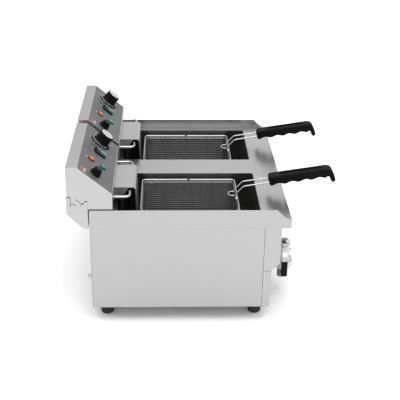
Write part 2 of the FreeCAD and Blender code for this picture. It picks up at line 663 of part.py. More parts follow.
# ---------------------------------------------------------------- hinge bracket
def make_hinge_bracket(side, way):
    """Trough with two cheeks. Each cheek has an open slot that the head's stud drops into."""
    body = new_body(f"hinge_bracket_{side}")
    back, front = -D["bracket_back"], -D["bracket_front"]
    low = head_low - D["trough_drop"]
    half = head_half + D["cheek_gap"] + wall
    slot_back = -D["pivot_back"] - D["slot_wide"] / 2
    slot_front = -D["pivot_back"] + D["slot_wide"] / 2
    lobe_front = -D["pivot_back"] + D["lobe_reach"]
    tall = head_low + D["cheek_tall"]
    knee = low + D["trough_chamfer"]
    out, cut = D["tooth_out"], D["corner_cut"]
    tooth, cheek_top = pivot_level + D["tooth_rise"], pivot_level + D["cheek_rise"]
    outline = [(back, tall), (slot_back - cut, tall), (slot_back, tall - cut), (slot_back, pivot_level),
               (lobe_front - out / 3, pivot_level), (lobe_front, tooth - D["tooth_deep"]),
               (lobe_front + out, tooth), (lobe_front + out * 2, tooth - D["tooth_deep"]),
               (lobe_front + out * 2.7, cheek_top - cut), (lobe_front + out * 3.3, cheek_top),
               (front - cut / 2, cheek_top), (front, cheek_top - cut), (front, low),
               (back + D["trough_chamfer"], low), (back, knee)]
    pad(body, "YZ_Plane", [side_view(outline)], half * 2, centred=True)
    pivot = (D["pivot_back"], pivot_level)
    pad(body, "YZ_Plane", [(*pivot, D["lobe_reach"] * 2)], half * 2, centred=True)
    reach = D["lobe_reach"]
    behind = box_points(back - reach, low - reach, back, tall + reach)
    pocket(body, "YZ_Plane", [side_view(behind)], half * 3)
    slot = box_points(slot_back, pivot_level, slot_front, tall + reach)
    pocket(body, "YZ_Plane", [side_view(slot)], half * 3)
    pocket(body, "YZ_Plane", [(*pivot, D["slot_wide"])], half * 3)
    inner_half = head_half + D["cheek_gap"]
    slant = wall * 0.414
    inside = [(back + wall, tall + reach), (back + wall, knee + slant),
              (back + D["trough_chamfer"] + slant, low + wall), (front - wall, low + wall),
              (front - wall, tall + reach)]
    pocket(body, "YZ_Plane", [side_view(inside)], inner_half * 2)
    lip = head_low - D["trough_lip"]
    above = box_points(back - reach, lip, front + reach, tall + reach)
    pocket(body, "YZ_Plane", [side_view(above)], inner_half * 2)
    keep(place(body, unit_half * way))


# ---------------------------------------------------------------- head
def make_head_casing(side, way):
    """Folded head casing, open underneath and where the fascia lies."""
    body = new_body(f"head_casing_{side}")
    outline = [(-D["head_back"], head_top), (slope_top, head_top), (D["head_front"], lip_level),
               (D["head_front"], head_low), (D["head_chamfer"] - D["head_back"], head_low),
               (-D["head_back"], head_low + D["head_chamfer"])]
    pad(body, "YZ_Plane", [side_view(outline)], head_wide, centred=True)
    angle = math.radians(float(D["fascia_slope"]))
    hollow(body, wall, faces_way(DOWN, Vector(0, -math.sin(angle), math.cos(angle))))
    keep(place(body, unit_half * way))


def make_hinge_studs(side, way):
    """The two studs that the head tilts on, one out of each side of its casing."""
    studs = []
    reach = D["cheek_gap"] + wall + D["panel_gap"]
    for start in (head_half, -head_half - reach):
        stud = doc.addObject("Part::Cylinder", f"stud_{side}")
        stud.Placement = FreeCAD.Placement(Vector(), FreeCAD.Rotation(Vector(0, 1, 0), 90))
        bind(stud, "Radius", pin_wide / 2)
        bind(stud, "Height", reach)
        bind(stud, "Placement.Base.x", start)
        bind(stud, "Placement.Base.y", D["pivot_back"])
        bind(stud, "Placement.Base.z", pivot_level)
        studs.append(stud)
    keep(place(group(f"hinge_studs_{side}", studs), unit_half * way))


def make_underplate(side, way):
    """Plate that closes the head underneath, with a hole for the gland."""
    plate = new_body(f"head_underplate_{side}")
    inner = head_half - wall - D["fit_gap"]
    plate_back = D["head_back"] - D["head_chamfer"] - wall * 1.5 - D["fit_gap"]
    pad(plate, "XY_Plane", [box_points(-inner, -(D["head_front"] - wall - D["fit_gap"]),
                                       inner, plate_back)], wall, offset=head_low)
    gland_hole = D["gland_wide"] - D["slot_thin"] * 2 + D["fit_gap"] * 2
    pocket(plate, "XY_Plane", [(0, D["gland_in"], gland_hole)], wall * 4, offset=head_low)
    keep(place(plate, unit_half * way))


def make_casing_screws(side, way):
    """Three slotted pan-head screws on the head's rear wall."""
    screws = []
    out, wide, thin = D["screw_head"], D["screw_wide"], D["slot_thin"] / 2
    height = head_top - D["screw_drop"]
    rear = float(D["head_back"] + out)
    reach = head_half - D["screw_inset"]
    for across in (-reach, size(0), reach):
        screw = new_body(f"casing_screw_{side}")
        pad(screw, "XZ_Plane", [(across, height, wide)], out, offset=-D["head_back"] - out)
        round_edges(screw, out * 0.6, lambda edge: abs(edge.CenterOfMass.y - rear) < 0.01)
        slot = box_points(across - wide * 0.3, height - thin, across + wide * 0.3, height + thin)
        pocket(screw, "XZ_Plane", [slot], out * 0.8, offset=-D["head_back"] - out)
        screws.append(screw)
    keep(place(group(f"casing_screws_{side}", screws), unit_half * way))


def make_gland(side, way):
    """Cable gland through the head's underside."""
    gland = new_body(f"cable_gland_{side}")
    outer, lip = D["gland_wide"] / 2, D["slot_thin"]
    bore, neck = outer - D["gland_wall"], outer - lip
    low, top = head_low - D["gland_drop"], head_low + wall
    revolve(gland, [(bore, low), (neck, low), (outer, low + lip), (outer, head_low),
                    (neck, head_low), (neck, top), (outer + lip, top), (outer + lip, top + lip * 3),
                    (bore, top + lip * 3)], 0, -D["gland_in"])
    keep(place(gland, unit_half * way))


def make_heater(side, way):
    """Bent shield plate with its guard, the U-shaped hang rod, the heating element and probes."""
    front = D["head_front"]
    shield = new_body(f"heater_bracket_{side}")
    guard_low = shield_top - D["guard_high"]
    lean = D["guard_lean"]
    bend = D["shield_bend"]
    inner_bend = bend + wall * 0.414
    foot = head_low + D["shield_foot"]
    outline = [(front, shield_top), (shield_front - lean - bend, shield_top),
               (shield_front - lean, shield_top - bend), (shield_front, guard_low),
               (shield_front - wall, guard_low), (shield_front - lean - wall, shield_top - inner_bend),
               (shield_front - lean - inner_bend, shield_top - wall), (front + wall, shield_top - wall),
               (front + wall, foot), (front, foot)]
    pad(shield, "YZ_Plane", [side_view(outline)], D["shield_wide"], centred=True)
    cheek = [(front + wall, foot), (front + D["cheek_foot"], foot),
             (front + D["shield_cheek"], shield_top - wall), (front + wall, shield_top - wall)]
    for start in (D["shield_wide"] / 2 - wall, -D["shield_wide"] / 2):
        pad(shield, "YZ_Plane", [side_view(cheek)], wall, offset=start)
    leg_hole = D["tube_thick"] + D["fit_gap"] * 2
    legs = [(D["tube_inner"] + D["tube_pitch"] * row) * hand for row in range(3) for hand in (-1, 1)]
    leg_level = head_low + D["leg_rise"]
    pocket(shield, "XZ_Plane", [(leg, leg_level, leg_hole) for leg in legs], wall * 3, offset=front)
    probe_level = head_low + D["probe_rise"]
    probes = [D["probe_half"] * hand for hand in (-1, 1)]
    pocket(shield, "XZ_Plane", [(probe, probe_level, D["probe_thick"] + D["fit_gap"] * 2)
                                for probe in probes], wall * 3, offset=front)
    keep(place(shield, unit_half * way))

    half, out = D["rod_half"], front + D["rod_out"]
    path = [(-half, front, rod_level), (-half, out, rod_level), (half, out, rod_level),
            (half, front, rod_level)]
    keep(place(shape_part(f"hang_rod_{side}", rod_shape(path, D["rod_thick"], D["rod_thick"] * 1.6)),
               unit_half * way))

    tubes = []
    bend = D["tube_thick"] * 1.5
    for row in range(3):
        across = D["tube_inner"] + D["tube_pitch"] * row
        ahead = tank_front - D["tube_front_gap"] - D["tube_pitch"] * (2 - row)
        down = front + D["leg_out"]
        path = [(-across, front, leg_level), (-across, down, leg_level), (-across, down, tube_level),
                (-across, ahead, tube_level), (across, ahead, tube_level), (across, down, tube_level),
                (across, down, leg_level), (across, front, leg_level)]
        tubes.append(rod_shape(path, D["tube_thick"], bend))
    keep(place(shape_part(f"heating_element_{side}", Part.makeCompound(tubes)), unit_half * way))

    bulbs = []
    for across in probes:
        down = front + D["probe_out"]
        path = [(across, front, probe_level), (across, down, probe_level),
                (across, down, shield_top - D["probe_high"])]
        bulbs.append(rod_shape(path, D["probe_thick"], D["probe_thick"] * 1.5))
    keep(place(shape_part(f"probe_bulbs_{side}", Part.makeCompound(bulbs)), unit_half * way))


# ---------------------------------------------------------------- controls on the slope
def on_slope(thing, across, down, proud=0, way=0, extra_tilt=0):
    """Place a sub-part drawn with z along the fascia's outward normal and y up the slope."""
    angle = D["fascia_slope"]
    sin, cos = turn_of(angle, "sin"), turn_of(angle, "cos")
    forward = slope_top + size(down) * cos + size(proud) * sin
    height = head_top - size(down) * sin + size(proud) * cos
    return place(thing, unit_half * way + across, forward, height, angle + extra_tilt)


def make_fascia(side, way):
    """Dark plate on the slope, cut for the shaft bush, the switch, the lamps and the collar."""
    body = new_body(f"head_fascia_{side}")
    half = head_half - wall - D["fit_gap"]
    thick = D["fascia_thick"]
    sine = turn_of(D["fascia_slope"], "sin")
    cosine = turn_of(D["fascia_slope"], "cos")
    top = wall / sine + D["fit_gap"]
    low = slope_long - wall / cosine - D["fit_gap"]
    pad(body, "XY_Plane", [box_points(-half, -low, half, -top)], thick, offset=-thick)
    clear = D["fit_gap"] * 2
    rounds = [(D["knob_across"], -D["knob_down"], D["bush_wide"] + clear),
              (D["lamp_across"], -D["amber_down"], D["lamp_wide"] - 1 + clear),
              (D["lamp_across"], -D["green_down"], D["lamp_wide"] - 1 + clear),
              (D["reset_across"], -D["reset_down"], D["collar_wide"] - 2 + clear)]
    pocket(body, "XY_Plane", rounds, thick * 4)
    shoulder = D["rocker_frame"] / 2 - D["fit_gap"]
    long, wide = D["rocker_long"] / 2 - shoulder, D["rocker_wide"] / 2 - shoulder
    across, down = D["rocker_across"], -D["rocker_down"]
    pocket(body, "XY_Plane", [box_points(across - wide, down - long, across + wide, down + long)],
           thick * 4)
    keep(on_slope(body, 0, 0, way=way))


def make_thermostat(side, way):
    """Thermostat body under the fascia with its bush and shaft, and the knob on the shaft."""
    body = new_body(f"thermostat_{side}")
    thick = D["fascia_thick"]
    shaft = D["shaft_wide"] / 2
    radius, low, top = D["thermostat_wide"] / 2, -thick - D["thermostat_high"], -thick - D["fit_gap"]
    revolve(body, [(0, low), (radius, low), (radius, top), (D["bush_wide"] / 2, top),
                   (D["bush_wide"] / 2, 0), (shaft, 0), (shaft, D["knob_high"] * 0.5),
                   (0, D["knob_high"] * 0.5)])
    keep(on_slope(body, D["knob_across"], D["knob_down"], way=way))

    knob = new_body(f"thermostat_knob_{side}")
    lift, high, grip = D["knob_lift"], D["knob_high"], D["knob_wide"] / 2
    skirt = D["skirt_wide"] / 2
    revolve(knob, [(0, lift), (skirt, lift), (skirt, lift + high * 0.05), (grip * 1.1, lift + high * 0.14),
                   (grip, lift + high * 0.28), (grip * 0.95, high * 0.95), (grip * 0.87, high), (0, high)])
    shaft_room = D["shaft_wide"] + D["running"] * 2
    pocket(knob, "XY_Plane", [(0, 0, shaft_room)], D["knob_high"] * 0.5 + 1,
           offset=D["knob_high"] * 0.5 + 1, centred=False)
    pocket(knob, "XY_Plane", [(0, 0, D["bush_wide"] + D["fit_gap"] * 4)], lift * 2, offset=lift * 2,
           centred=False)
    keep(on_slope(knob, D["knob_across"], D["knob_down"], way=way))


def make_rocker(side, way):
    """Switch housing with its bezel, and the rocker that tips in it."""
    body = new_body(f"rocker_housing_{side}")
    long, wide = D["rocker_long"] / 2, D["rocker_wide"] / 2
    pad(body, "XY_Plane", [box_points(-wide, -long, wide, long)], D["rocker_bezel"], offset=0)
    frame = D["rocker_frame"]
    round_edges(body, frame * 0.7, runs_along(UP))
    in_long, in_wide = long - frame / 2, wide - frame / 2
    pad(body, "XY_Plane", [box_points(-in_wide, -in_long, in_wide, in_long)],
        D["rocker_deep"], offset=-D["rocker_deep"])
    room_long, room_wide = long - frame, wide - frame * 1.35
    pocket(body, "XY_Plane", [box_points(-room_wide, -room_long, room_wide, room_long)],
           D["rocker_deep"] / 2 + D["rocker_bezel"], offset=D["rocker_bezel"], centred=False)
    keep(on_slope(body, D["rocker_across"], D["rocker_down"], way=way))

    rocker = new_body(f"rocker_{side}")
    half, end = room_wide - D["fit_gap"] * 5, room_long - D["fit_gap"] * 16
    top, dip, tail = D["rocker_end"], D["rocker_end"] - D["rocker_dip"], -D["rocker_tail"]
    outline = [(-end, top), (0, dip), (end, top), (end, 0), (end / 2, tail), (-end / 2, tail), (-end, 0)]
    pad(rocker, "YZ_Plane", [outline], half * 2, centred=True)
    keep(on_slope(rocker, D["rocker_across"], D["rocker_down"], -D["rocker_pivot"], way,
                  D["rocker_tilt"]))


def make_lamps(side, way):
    """Two pilot lamps: a round lens on a bezel ring with its neck through the fascia."""
    lens, high = D["lamp_wide"] / 2, D["lamp_high"]
    neck, bezel, low = lens * 0.94, lens * 1.18, -D["lamp_body"]
    for name, down in (("amber_lamp", "amber_down"), ("green_lamp", "green_down")):
        body = new_body(f"{name}_{side}")
        revolve(body, [(0, low), (neck, low), (neck, 0), (bezel, 0), (bezel, high * 0.17),
                       (lens, high * 0.27), (lens, high * 0.53), (lens * 0.87, high * 0.77),
                       (lens * 0.59, high * 0.93), (0, high)])
        keep(on_slope(body, D["lamp_across"], D[down], way=way))


def make_reset(side, way):
    """Safety cut-out's stepped collar and the reset button that travels in it."""
    bore = D["reset_wide"] / 2
    outer, high = D["collar_wide"] / 2, D["collar_high"]
    collar = new_body(f"reset_collar_{side}")
    neck, low, well = outer - D["slot_thin"], -D["collar_body"], -D["collar_well"]
    revolve(collar, [(0, low), (neck, low), (neck, 0), (outer, 0), (outer, high * 0.6),
                     (outer * 0.88, high), (bore, high), (bore, well), (0, well)])
    keep(on_slope(collar, D["reset_across"], D["reset_down"], way=way))
    button = new_body(f"reset_button_{side}")
    radius = bore - D["running"]
    foot, top = well + D["reset_travel"] + D["slot_thin"], D["reset_high"]
    revolve(button, [(0, foot), (radius, foot), (radius, top - radius * 0.15), (radius * 0.85, top),
                     (0, top)])
    keep(on_slope(button, D["reset_across"], D["reset_down"], way=way))


# ---------------------------------------------------------------- baskets
def make_basket(side, way):
    """Wire frame with its two handle wires, the mesh liner and the moulded grip."""
    half, rim, rib = D["basket_wide"] / 2, D["rim_wire"], D["rib_wire"]
    skin = half - rim
    rim_half, rib_half = half - rim / 2, skin + rib / 2
    wires = []

    def ring(reach, height, thickness):
        back, front = basket_back + half - reach, basket_front - half + reach
        corners = [(-reach, back, height), (reach, back, height), (reach, front, height),
                   (-reach, front, height)]
        middle = (0, back, height)
        bend = float(D["basket_round"] + thickness / 2)
        wires.append(rod_shape([middle, *corners[1:], corners[0], middle], thickness, bend))

    ring(rim_half, basket_rim, rim)
    ring(rib_half, basket_rim - D["rim_spacing"], rib)
    low = basket_low - rib / 2 - D["fit_gap"]
    back, front = basket_back + half - rib_half, basket_front - half + rib_half
    bend = D["basket_foot"] + D["fit_gap"] + rib / 2
    for across in (-half / 2, half / 2):
        path = [(across, back, basket_rim), (across, back, low), (across, front, low),
                (across, front, basket_rim)]
        wires.append(rod_shape(path, rib, bend))
    for share in (0.25, 0.75):
        forward = back + (front - back) * share
        path = [(-rib_half, forward, basket_rim), (-rib_half, forward, low), (rib_half, forward, low),
                (rib_half, forward, basket_rim)]
        wires.append(rod_shape(path, rib, bend))

    handle = D["handle_wire"]
    root = basket_front - rim - D["mesh_wall"] - D["fit_gap"] * 2 - handle / 2
    tilt = math.radians(float(D["grip_tilt"]))
    inside = float(D["wire_in_grip"])
    in_grip = []
    for hand in (-1, 1):
        wide, narrow = D["wire_half"] * hand, D["wire_half_grip"] * hand
        level = grip_level - D["wire_sink"]
        entry = (narrow, grip_back, level)
        deep = (narrow, grip_back + inside * math.cos(tilt), level + inside * math.sin(tilt))
        path = [(wide, root, basket_rim - D["handle_root_deep"]),
                (wide, root, basket_rim + D["handle_rise"]),
                (wide, basket_front + D["handle_knee_out"], basket_rim + D["handle_knee_rise"]),
                entry, deep]
        solid = rod_shape(path, handle, handle * 2)
        wires.append(solid)
        in_grip.append(solid)
        over_rim = basket_front - rim / 2
        post = [(wide, over_rim, basket_rim), (wide, over_rim, basket_rim + D["post_rise"])]
        wires.append(rod_shape(post, rib, rib))
    catch = D["wire_half"] - handle / 2
    inward = root - D["catch_reach"]
    loop = [(-catch, root, basket_rim + rib), (-catch, inward, basket_rim + rib),
            (catch, inward, basket_rim + rib), (catch, root, basket_rim + rib)]
    wires.append(rod_shape(loop, rib, rib * 1.5))
    brace = basket_rim - D["brace_drop"]
    wires.append(rod_shape([(-D["wire_half"], root, brace), (D["wire_half"], root, brace)], rib, rib))
    frame = wires[0].fuse(wires[1:])
    keep(place(shape_part(f"basket_frame_{side}", frame), unit_half * way))

    mesh = new_body(f"basket_mesh_{side}")
    liner = skin - D["fit_gap"]
    liner_back, liner_front = basket_back + half - liner, basket_front - half + liner
    pad(mesh, "XY_Plane", [box_points(-liner, -liner_front, liner, -liner_back)],
        basket_rim - rim / 2 - basket_low, offset=basket_low)
    round_edges(mesh, D["basket_round"], runs_along(UP))
    floor = float(basket_low)
    round_edges(mesh, D["basket_foot"], lambda edge: abs(edge.CenterOfMass.z - floor) < 0.01)
    hollow(mesh, D["mesh_wall"], faces_way(UP))
    keep(place(mesh, unit_half * way))

    long, high = D["grip_long"], D["grip_high"] / 2
    body = new_body(f"grip_blank_{side}")
    rise = turn_of(D["grip_tilt"], "tan")
    def on_axis(along, above):
        return grip_back + along, grip_level + along * rise + above

    cut, nose, hook = D["grip_chamfer"], D["nose_round"], D["hook_long"]
    outline = [on_axis(size(0), high), on_axis(long - nose * 2, high), on_axis(long - nose, high * 0.75),
               on_axis(long - D["nose_slope"], high * -0.6), on_axis(long, -high - D["hook_deep"]),
               on_axis(long - cut, -high - D["hook_deep"] * 1.5), on_axis(long - hook, -high),
               on_axis(long - hook * 2, -high), (grip_back + cut, grip_level - high)]
    pad(body, "YZ_Plane", [side_view(outline)], D["grip_wide"], centred=True)
    radius, deep = D["scallop"], D["scallop_deep"]
    dents = []
    for step in range(4):
        along = D["scallop_first"] + D["scallop_pitch"] * step
        forward, height = on_axis(along, -high - radius + deep)
        dents.append((-forward, height, radius * 2))
    pocket(body, "YZ_Plane", dents, D["grip_wide"] * 2)
    wire_room = shape_part(f"grip_wires_{side}", Part.makeCompound(in_grip))
    grip = doc.addObject("Part::Cut", f"basket_grip_{side}")
    grip.Base, grip.Tool = body, wire_room
    grip.Label = f"basket_grip_{side}"
    doc.recompute()
    keep(place(grip, unit_half * way))


# ---------------------------------------------------------------- build, check and write
def main():
    make_worktop()
    make_cabinet()
    make_feet()
    make_bonding_stud()
    for side, way in EACH_SIDE:
        make_tank(side, way)
        make_tap(side, way)
        make_lever(side, way)
        make_hinge_bracket(side, way)
        make_head_casing(side, way)
        make_hinge_studs(side, way)
        make_underplate(side, way)
        make_casing_screws(side, way)
        make_gland(side, way)
        make_heater(side, way)
        make_fascia(side, way)
        make_thermostat(side, way)
        make_rocker(side, way)
        make_lamps(side, way)
        make_reset(side, way)
        make_basket(side, way)
    doc.recompute()
    for thing in doc.Objects:
        if any(word in ("Invalid", "Error") for word in thing.State):
            raise RuntimeError(f"{thing.Label} failed to recompute: {thing.State}")
    for thing in parts:
        shape = thing.Shape
        if shape.isNull() or not shape.isValid() or shape.Volume <= 0:
            raise RuntimeError(f"{thing.Label} has no valid shape")
        shape.exportStep(f"parts/{thing.Label}.step")
        print(f"{thing.Label}: {len(shape.Solids)} solid(s), {shape.Volume / 1000:.1f} cm3")
    print(f"{len(parts)} sub-parts")


main()
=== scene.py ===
"""Countertop deep fryer with two tanks: its finishes and its finer pieces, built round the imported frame.

Lengths inside a piece are in millimetres and are brought to metres by the matrix that places it.
A point of one fryer unit is given as millimetres across from the unit's middle, forward of the
rear panel, and up from the surface that the feet stand on.
"""

import math

import bmesh
import bpy
from bpy.props import FloatProperty, FloatVectorProperty, IntProperty
from mathutils import Matrix, Vector


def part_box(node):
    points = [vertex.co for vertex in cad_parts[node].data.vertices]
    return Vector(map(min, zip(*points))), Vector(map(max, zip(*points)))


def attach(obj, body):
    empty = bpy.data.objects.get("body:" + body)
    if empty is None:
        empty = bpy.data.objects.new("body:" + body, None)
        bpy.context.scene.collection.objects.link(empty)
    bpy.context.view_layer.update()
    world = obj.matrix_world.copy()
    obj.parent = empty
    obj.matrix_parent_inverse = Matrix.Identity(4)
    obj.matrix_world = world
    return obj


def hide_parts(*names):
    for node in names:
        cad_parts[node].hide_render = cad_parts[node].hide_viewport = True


bl_info = {
    "name": "Deep fryer",
    "version": (1, 0, 0),
    "blender": (4, 5, 0),
    "location": "3D View > Sidebar > Fryer",
    "description": "Wire baskets, grips, controls, taps and finishes of a countertop deep fryer",
    "category": "Object",
}

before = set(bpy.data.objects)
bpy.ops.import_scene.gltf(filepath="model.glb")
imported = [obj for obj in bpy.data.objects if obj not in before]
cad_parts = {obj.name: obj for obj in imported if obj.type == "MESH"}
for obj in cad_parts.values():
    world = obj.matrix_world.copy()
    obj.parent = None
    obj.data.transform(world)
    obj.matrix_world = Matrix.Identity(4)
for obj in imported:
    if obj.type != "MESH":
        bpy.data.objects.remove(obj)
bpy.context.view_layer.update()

SIDES = ("left", "right")
MM = 0.001
SLOPE = math.radians(40)
SLOPE_RUN = 75.0
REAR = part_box("rear_panel")[1].y
HEADS = {side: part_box(f"head_casing_{side}") for side in SIDES}
MIDDLES = {side: (low.x + high.x) / 2 for side, (low, high) in HEADS.items()}

# Controls of one head, as millimetres across from its middle and down its slope.
KNOB_AT = (84, 46)
ROCKER_AT = (22, 50)
LAMPS_AT = {"amber": (-41, 31), "green": (-41, 64)}
RESET_AT = (-100, 47)
LABEL_AT = (-118, 16)
# How far the dial's figures stand from the knob's axis, and how far up or down the slope they may go.
FIGURE_REACH, FIGURE_LIMIT = 32.2, 30.5
ROCKER_PIVOT = Vector((0, 0, -3))
ROCKER_TILT = math.radians(10)

# A basket grip: its length, half its height, its rise, and the spacing of its finger dents.
GRIP_LONG = 157.2
GRIP_HALF = 11.5
GRIP_RISE = math.radians(9)
DENT_PITCH = 31.5
DENT_FIRST = 23.0
DENT_DEEP = 4.0
WIRE_IN_GRIP = 45.8

# Corner radii and inset of the woven basket walls, in metres.
WALL_INSET = 0.0012
WALL_BEND = 0.008
WALL_CORNER = 0.0085


# ---------------------------------------------------------------- places
def spot(side, across, forward, up):
    """A point of one unit, in metres."""
    return Vector((MIDDLES[side] + across * MM, REAR - forward * MM, up * MM))


def millimetres(vector):
    """A point in metres as (x, forward, up) in millimetres."""
    return vector.x / MM, (REAR - vector.y) / MM, vector.z / MM


def upright(side, across, forward, up, turn=Matrix()):
    """A matrix for a shape drawn in millimetres about the unit's point, turned first if asked."""
    return Matrix.Translation(spot(side, across, forward, up)) @ turn @ Matrix.Scale(MM, 4)


def on_slope(side, across, down, proud=0.0):
    """A matrix for a shape drawn on the sloped fascia: x across, y up the slope, z straight out of it."""
    low, high = HEADS[side]
    back = (down * math.cos(SLOPE) + proud * math.sin(SLOPE)) * MM
    drop = (down * math.sin(SLOPE) - proud * math.cos(SLOPE)) * MM
    point = Vector((MIDDLES[side] + across * MM, low.y + SLOPE_RUN * MM - back, high.z - drop))
    turn = Matrix.Rotation(SLOPE, 4, "X")
    return Matrix.Translation(point) @ turn @ Matrix.Scale(MM, 4)


# ---------------------------------------------------------------- node trees
class Signal:
    """A socket of a node tree. Arithmetic on it adds Math nodes."""

    def __init__(self, tree, socket):
        self.tree = tree
        self.socket = socket

    def math(self, operation, *others):
        """A Math node on this socket, and on others if the operation takes them."""
        node = self.tree.nodes.new("ShaderNodeMath")
        node.operation = operation
        for socket, value in zip(node.inputs, (self, *others)):
            feed(self.tree, socket, value)
        return Signal(self.tree, node.outputs[0])

    def __add__(self, other):
        return self.math("ADD", other)

    def __sub__(self, other):
        return self.math("SUBTRACT", other)

    def __rsub__(self, other):
        return self.math("MULTIPLY_ADD", -1.0, other)

    def __mul__(self, other):
        return self.math("MULTIPLY", other)

    __radd__ = __add__
    __rmul__ = __mul__

    def clamped(self):
        """The value held between 0 and 1."""
        return self.math("MINIMUM", 1.0).math("MAXIMUM", 0.0)


def feed(tree, socket, value):
    """Link a Signal to a socket, or set the socket's own value."""
    if isinstance(value, Signal):
        tree.links.new(value.socket, socket)
    elif value is not None:
        socket.default_value = value


def add_node(tree, kind, values=None, output=0, stops=None, **settings):
    """Add a node: its settings come first, then the values or links of its sockets."""
    node = tree.nodes.new(kind)
    for name, value in settings.items():
        setattr(node, name, value)
    if stops:
        ramp = node.color_ramp.elements
        while len(ramp) < len(stops):
            ramp.new(0.5)
        for element, (place, shade) in zip(ramp, stops):
            element.position = place
            element.color = (shade, shade, shade, 1)
    for key, value in (values or {}).items():
        feed(tree, node.inputs[key], value)
    return Signal(tree, node.outputs[output])


# ---------------------------------------------------------------- finishes
class Finish:
    """One procedural material on object coordinates."""

    def __init__(self, name):
        self.material = bpy.data.materials.new(f"{name}_finish")
        self.material.use_nodes = True
        self.tree = self.material.node_tree
        self.shader = self.tree.nodes["Principled BSDF"]
        self.place = self.node("ShaderNodeTexCoord", output="Object")

    def node(self, kind, values=None, output=0, stops=None, **settings):
        return add_node(self.tree, kind, values, output, stops, **settings)

    def set(self, **values):
        """Values or links of the shader's sockets, with _ for a space in a socket's name."""
        for name, value in values.items():
            feed(self.tree, self.shader.inputs[name.replace("_", " ")], value)

    def stretched(self, scale):
        """Object coordinates scaled differently along x, y and z."""
        return self.node("ShaderNodeMapping", {"Vector": self.place, "Scale": scale})

    def noise(self, scale, detail=2.0, vector=None, rough=0.5):
        values = {"Vector": vector or self.place, "Scale": scale, "Detail": detail, "Roughness": rough}
        return self.node("ShaderNodeTexNoise", values)

    def shade(self, amount, dark, light):
        """A colour between two colours."""
        values = {0: amount, 6: (*dark, 1), 7: (*light, 1)}
        return self.node("ShaderNodeMix", values, 2, data_type="RGBA")

    def rounded(self, radius):
        """The normal that the surface has if its edges are rounded."""
        return self.node("ShaderNodeBevel", {"Radius": radius}, samples=4)

    def edge_wear(self, normal, strength):
        """Near 1 on edges and corners, 0 on flat places."""
        flat = self.node("ShaderNodeNewGeometry", output="Normal")
        likeness = self.node("ShaderNodeVectorMath", {0: normal, 1: flat}, 1, operation="DOT_PRODUCT")
        return ((1 - likeness) * strength).clamped()

    def bump(self, height, distance, strength=1.0, normal=None):
        values = {"Strength": strength, "Distance": distance, "Height": height, "Normal": normal}
        self.set(Normal=self.node("ShaderNodeBump", values))


def tint(colour, factor):
    """A colour made darker or lighter."""
    return tuple(min(channel * factor, 1.0) for channel in colour)


def sheet_steel(name, colour, rough, grain):
    """Rolled stainless sheet: long brushed grain, faint clouding, hairline scratches and rubbed edges."""
    made = Finish(name)
    lines = made.noise(1.0, 3.0, made.stretched(grain), 0.65)
    clouds = made.noise(9.0, 3.0)
    hairlines = made.noise(1.0, 1.0, made.stretched(tuple(value * 2.7 for value in grain)), 0.4)
    scratch = made.node("ShaderNodeValToRGB", {"Fac": hairlines}, stops=[(0.66, 0), (0.72, 1)])
    normal = made.rounded(0.0006)
    worn = made.edge_wear(normal, 3.0)
    tone = (lines * 0.55 + clouds * 0.3 + worn * 0.5).clamped()
    made.set(Base_Color=made.shade(tone, tint(colour, 0.94), tint(colour, 1.07)), Metallic=1.0,
             Roughness=(rough - 0.07) + lines * 0.1 + clouds * 0.07 - worn * 0.08)
    made.bump(lines * 0.7 + scratch * 0.3, 0.00002, 0.35, normal)
    return made.material


def oily_steel(name, colour, rough, grain):
    """Deep-drawn steel darkened by hot oil: lighter streaks down the wall, lacquer clouds and a wet sheen.
    On the tank walls the lighter streaks are a painted reflection of the rear wall; on the heating element
    they are streaks of heat tint.
    """
    made = Finish(name)
    # Lighter streaks: a painted reflection of the rear wall on the tanks, and heat-tint streaks on the
    # element.
    streaks_and_reflection = made.noise(1.0, 4.0, made.stretched(grain), 0.6)
    lacquer = made.noise(26.0, 4.0)
    normal = made.rounded(0.0008)
    worn = made.edge_wear(normal, 2.5)
    tone = (streaks_and_reflection * 0.7 + lacquer * 0.35 - 0.1 + worn * 0.4).clamped()
    made.set(Base_Color=made.shade(tone, tint(colour, 0.55), tint(colour, 1.7)), Metallic=1.0,
             Roughness=rough + streaks_and_reflection * 0.14 - lacquer * 0.06)
    made.bump(streaks_and_reflection * 0.5 + lacquer * 0.5, 0.00005, 0.3, normal)
    return made.material


def plated(name, colour, rough):
    """Polished plating: nearly even, with a slight orange peel and a few dull patches."""
    made = Finish(name)
    peel = made.noise(420.0, 2.0)
    dull = made.noise(38.0, 4.0)
    patches = made.node("ShaderNodeValToRGB", {"Fac": dull}, stops=[(0.5, 0), (0.75, 1)])
    made.set(Base_Color=made.shade(dull, tint(colour, 0.9), tint(colour, 1.08)), Metallic=1.0,
             Roughness=rough + patches * 0.16)
    made.bump(peel, 0.00002, 0.25)
    return made.material


def moulded(name, colour, rough, grain_scale, depth, light=1.6, coat=0.0, sheen=0.3):
    """Moulded plastic: spark-eroded grain, slightly uneven colour and edges rubbed shiny."""
    made = Finish(name)
    grain = made.noise(grain_scale, 3.0, rough=0.7)
    flow = made.noise(22.0, 2.0)
    normal = made.rounded(0.0005)
    worn = made.edge_wear(normal, 2.0)
    tone = (grain * 0.4 + flow * 0.3 + worn * 0.5).clamped()
    made.set(Base_Color=made.shade(tone, tint(colour, 0.8), tint(colour, light)),
             Roughness=(rough - 0.05) + grain * 0.14 - worn * 0.1, Coat_Weight=coat, Coat_Roughness=0.12,
             Specular_IOR_Level=sheen)
    made.bump(grain, depth, 0.5, normal)
    return made.material


def printed_film(name, colour):
    """Printed polyester film on the fascia: a fine leathery emboss under a satin lacquer."""
    made = Finish(name)
    cells = made.node("ShaderNodeTexVoronoi", {"Vector": made.place, "Scale": 900.0},
                      feature="SMOOTH_F1")
    haze = made.noise(14.0, 3.0)
    specks = made.noise(1500.0, 1.0)
    tone = (haze * 0.5 + specks * 0.35).clamped()
    made.set(Base_Color=made.shade(tone, tint(colour, 0.86), tint(colour, 1.22)),
             Roughness=0.4 + haze * 0.14)
    made.bump(cells, 0.00002, 0.25)
    return made.material


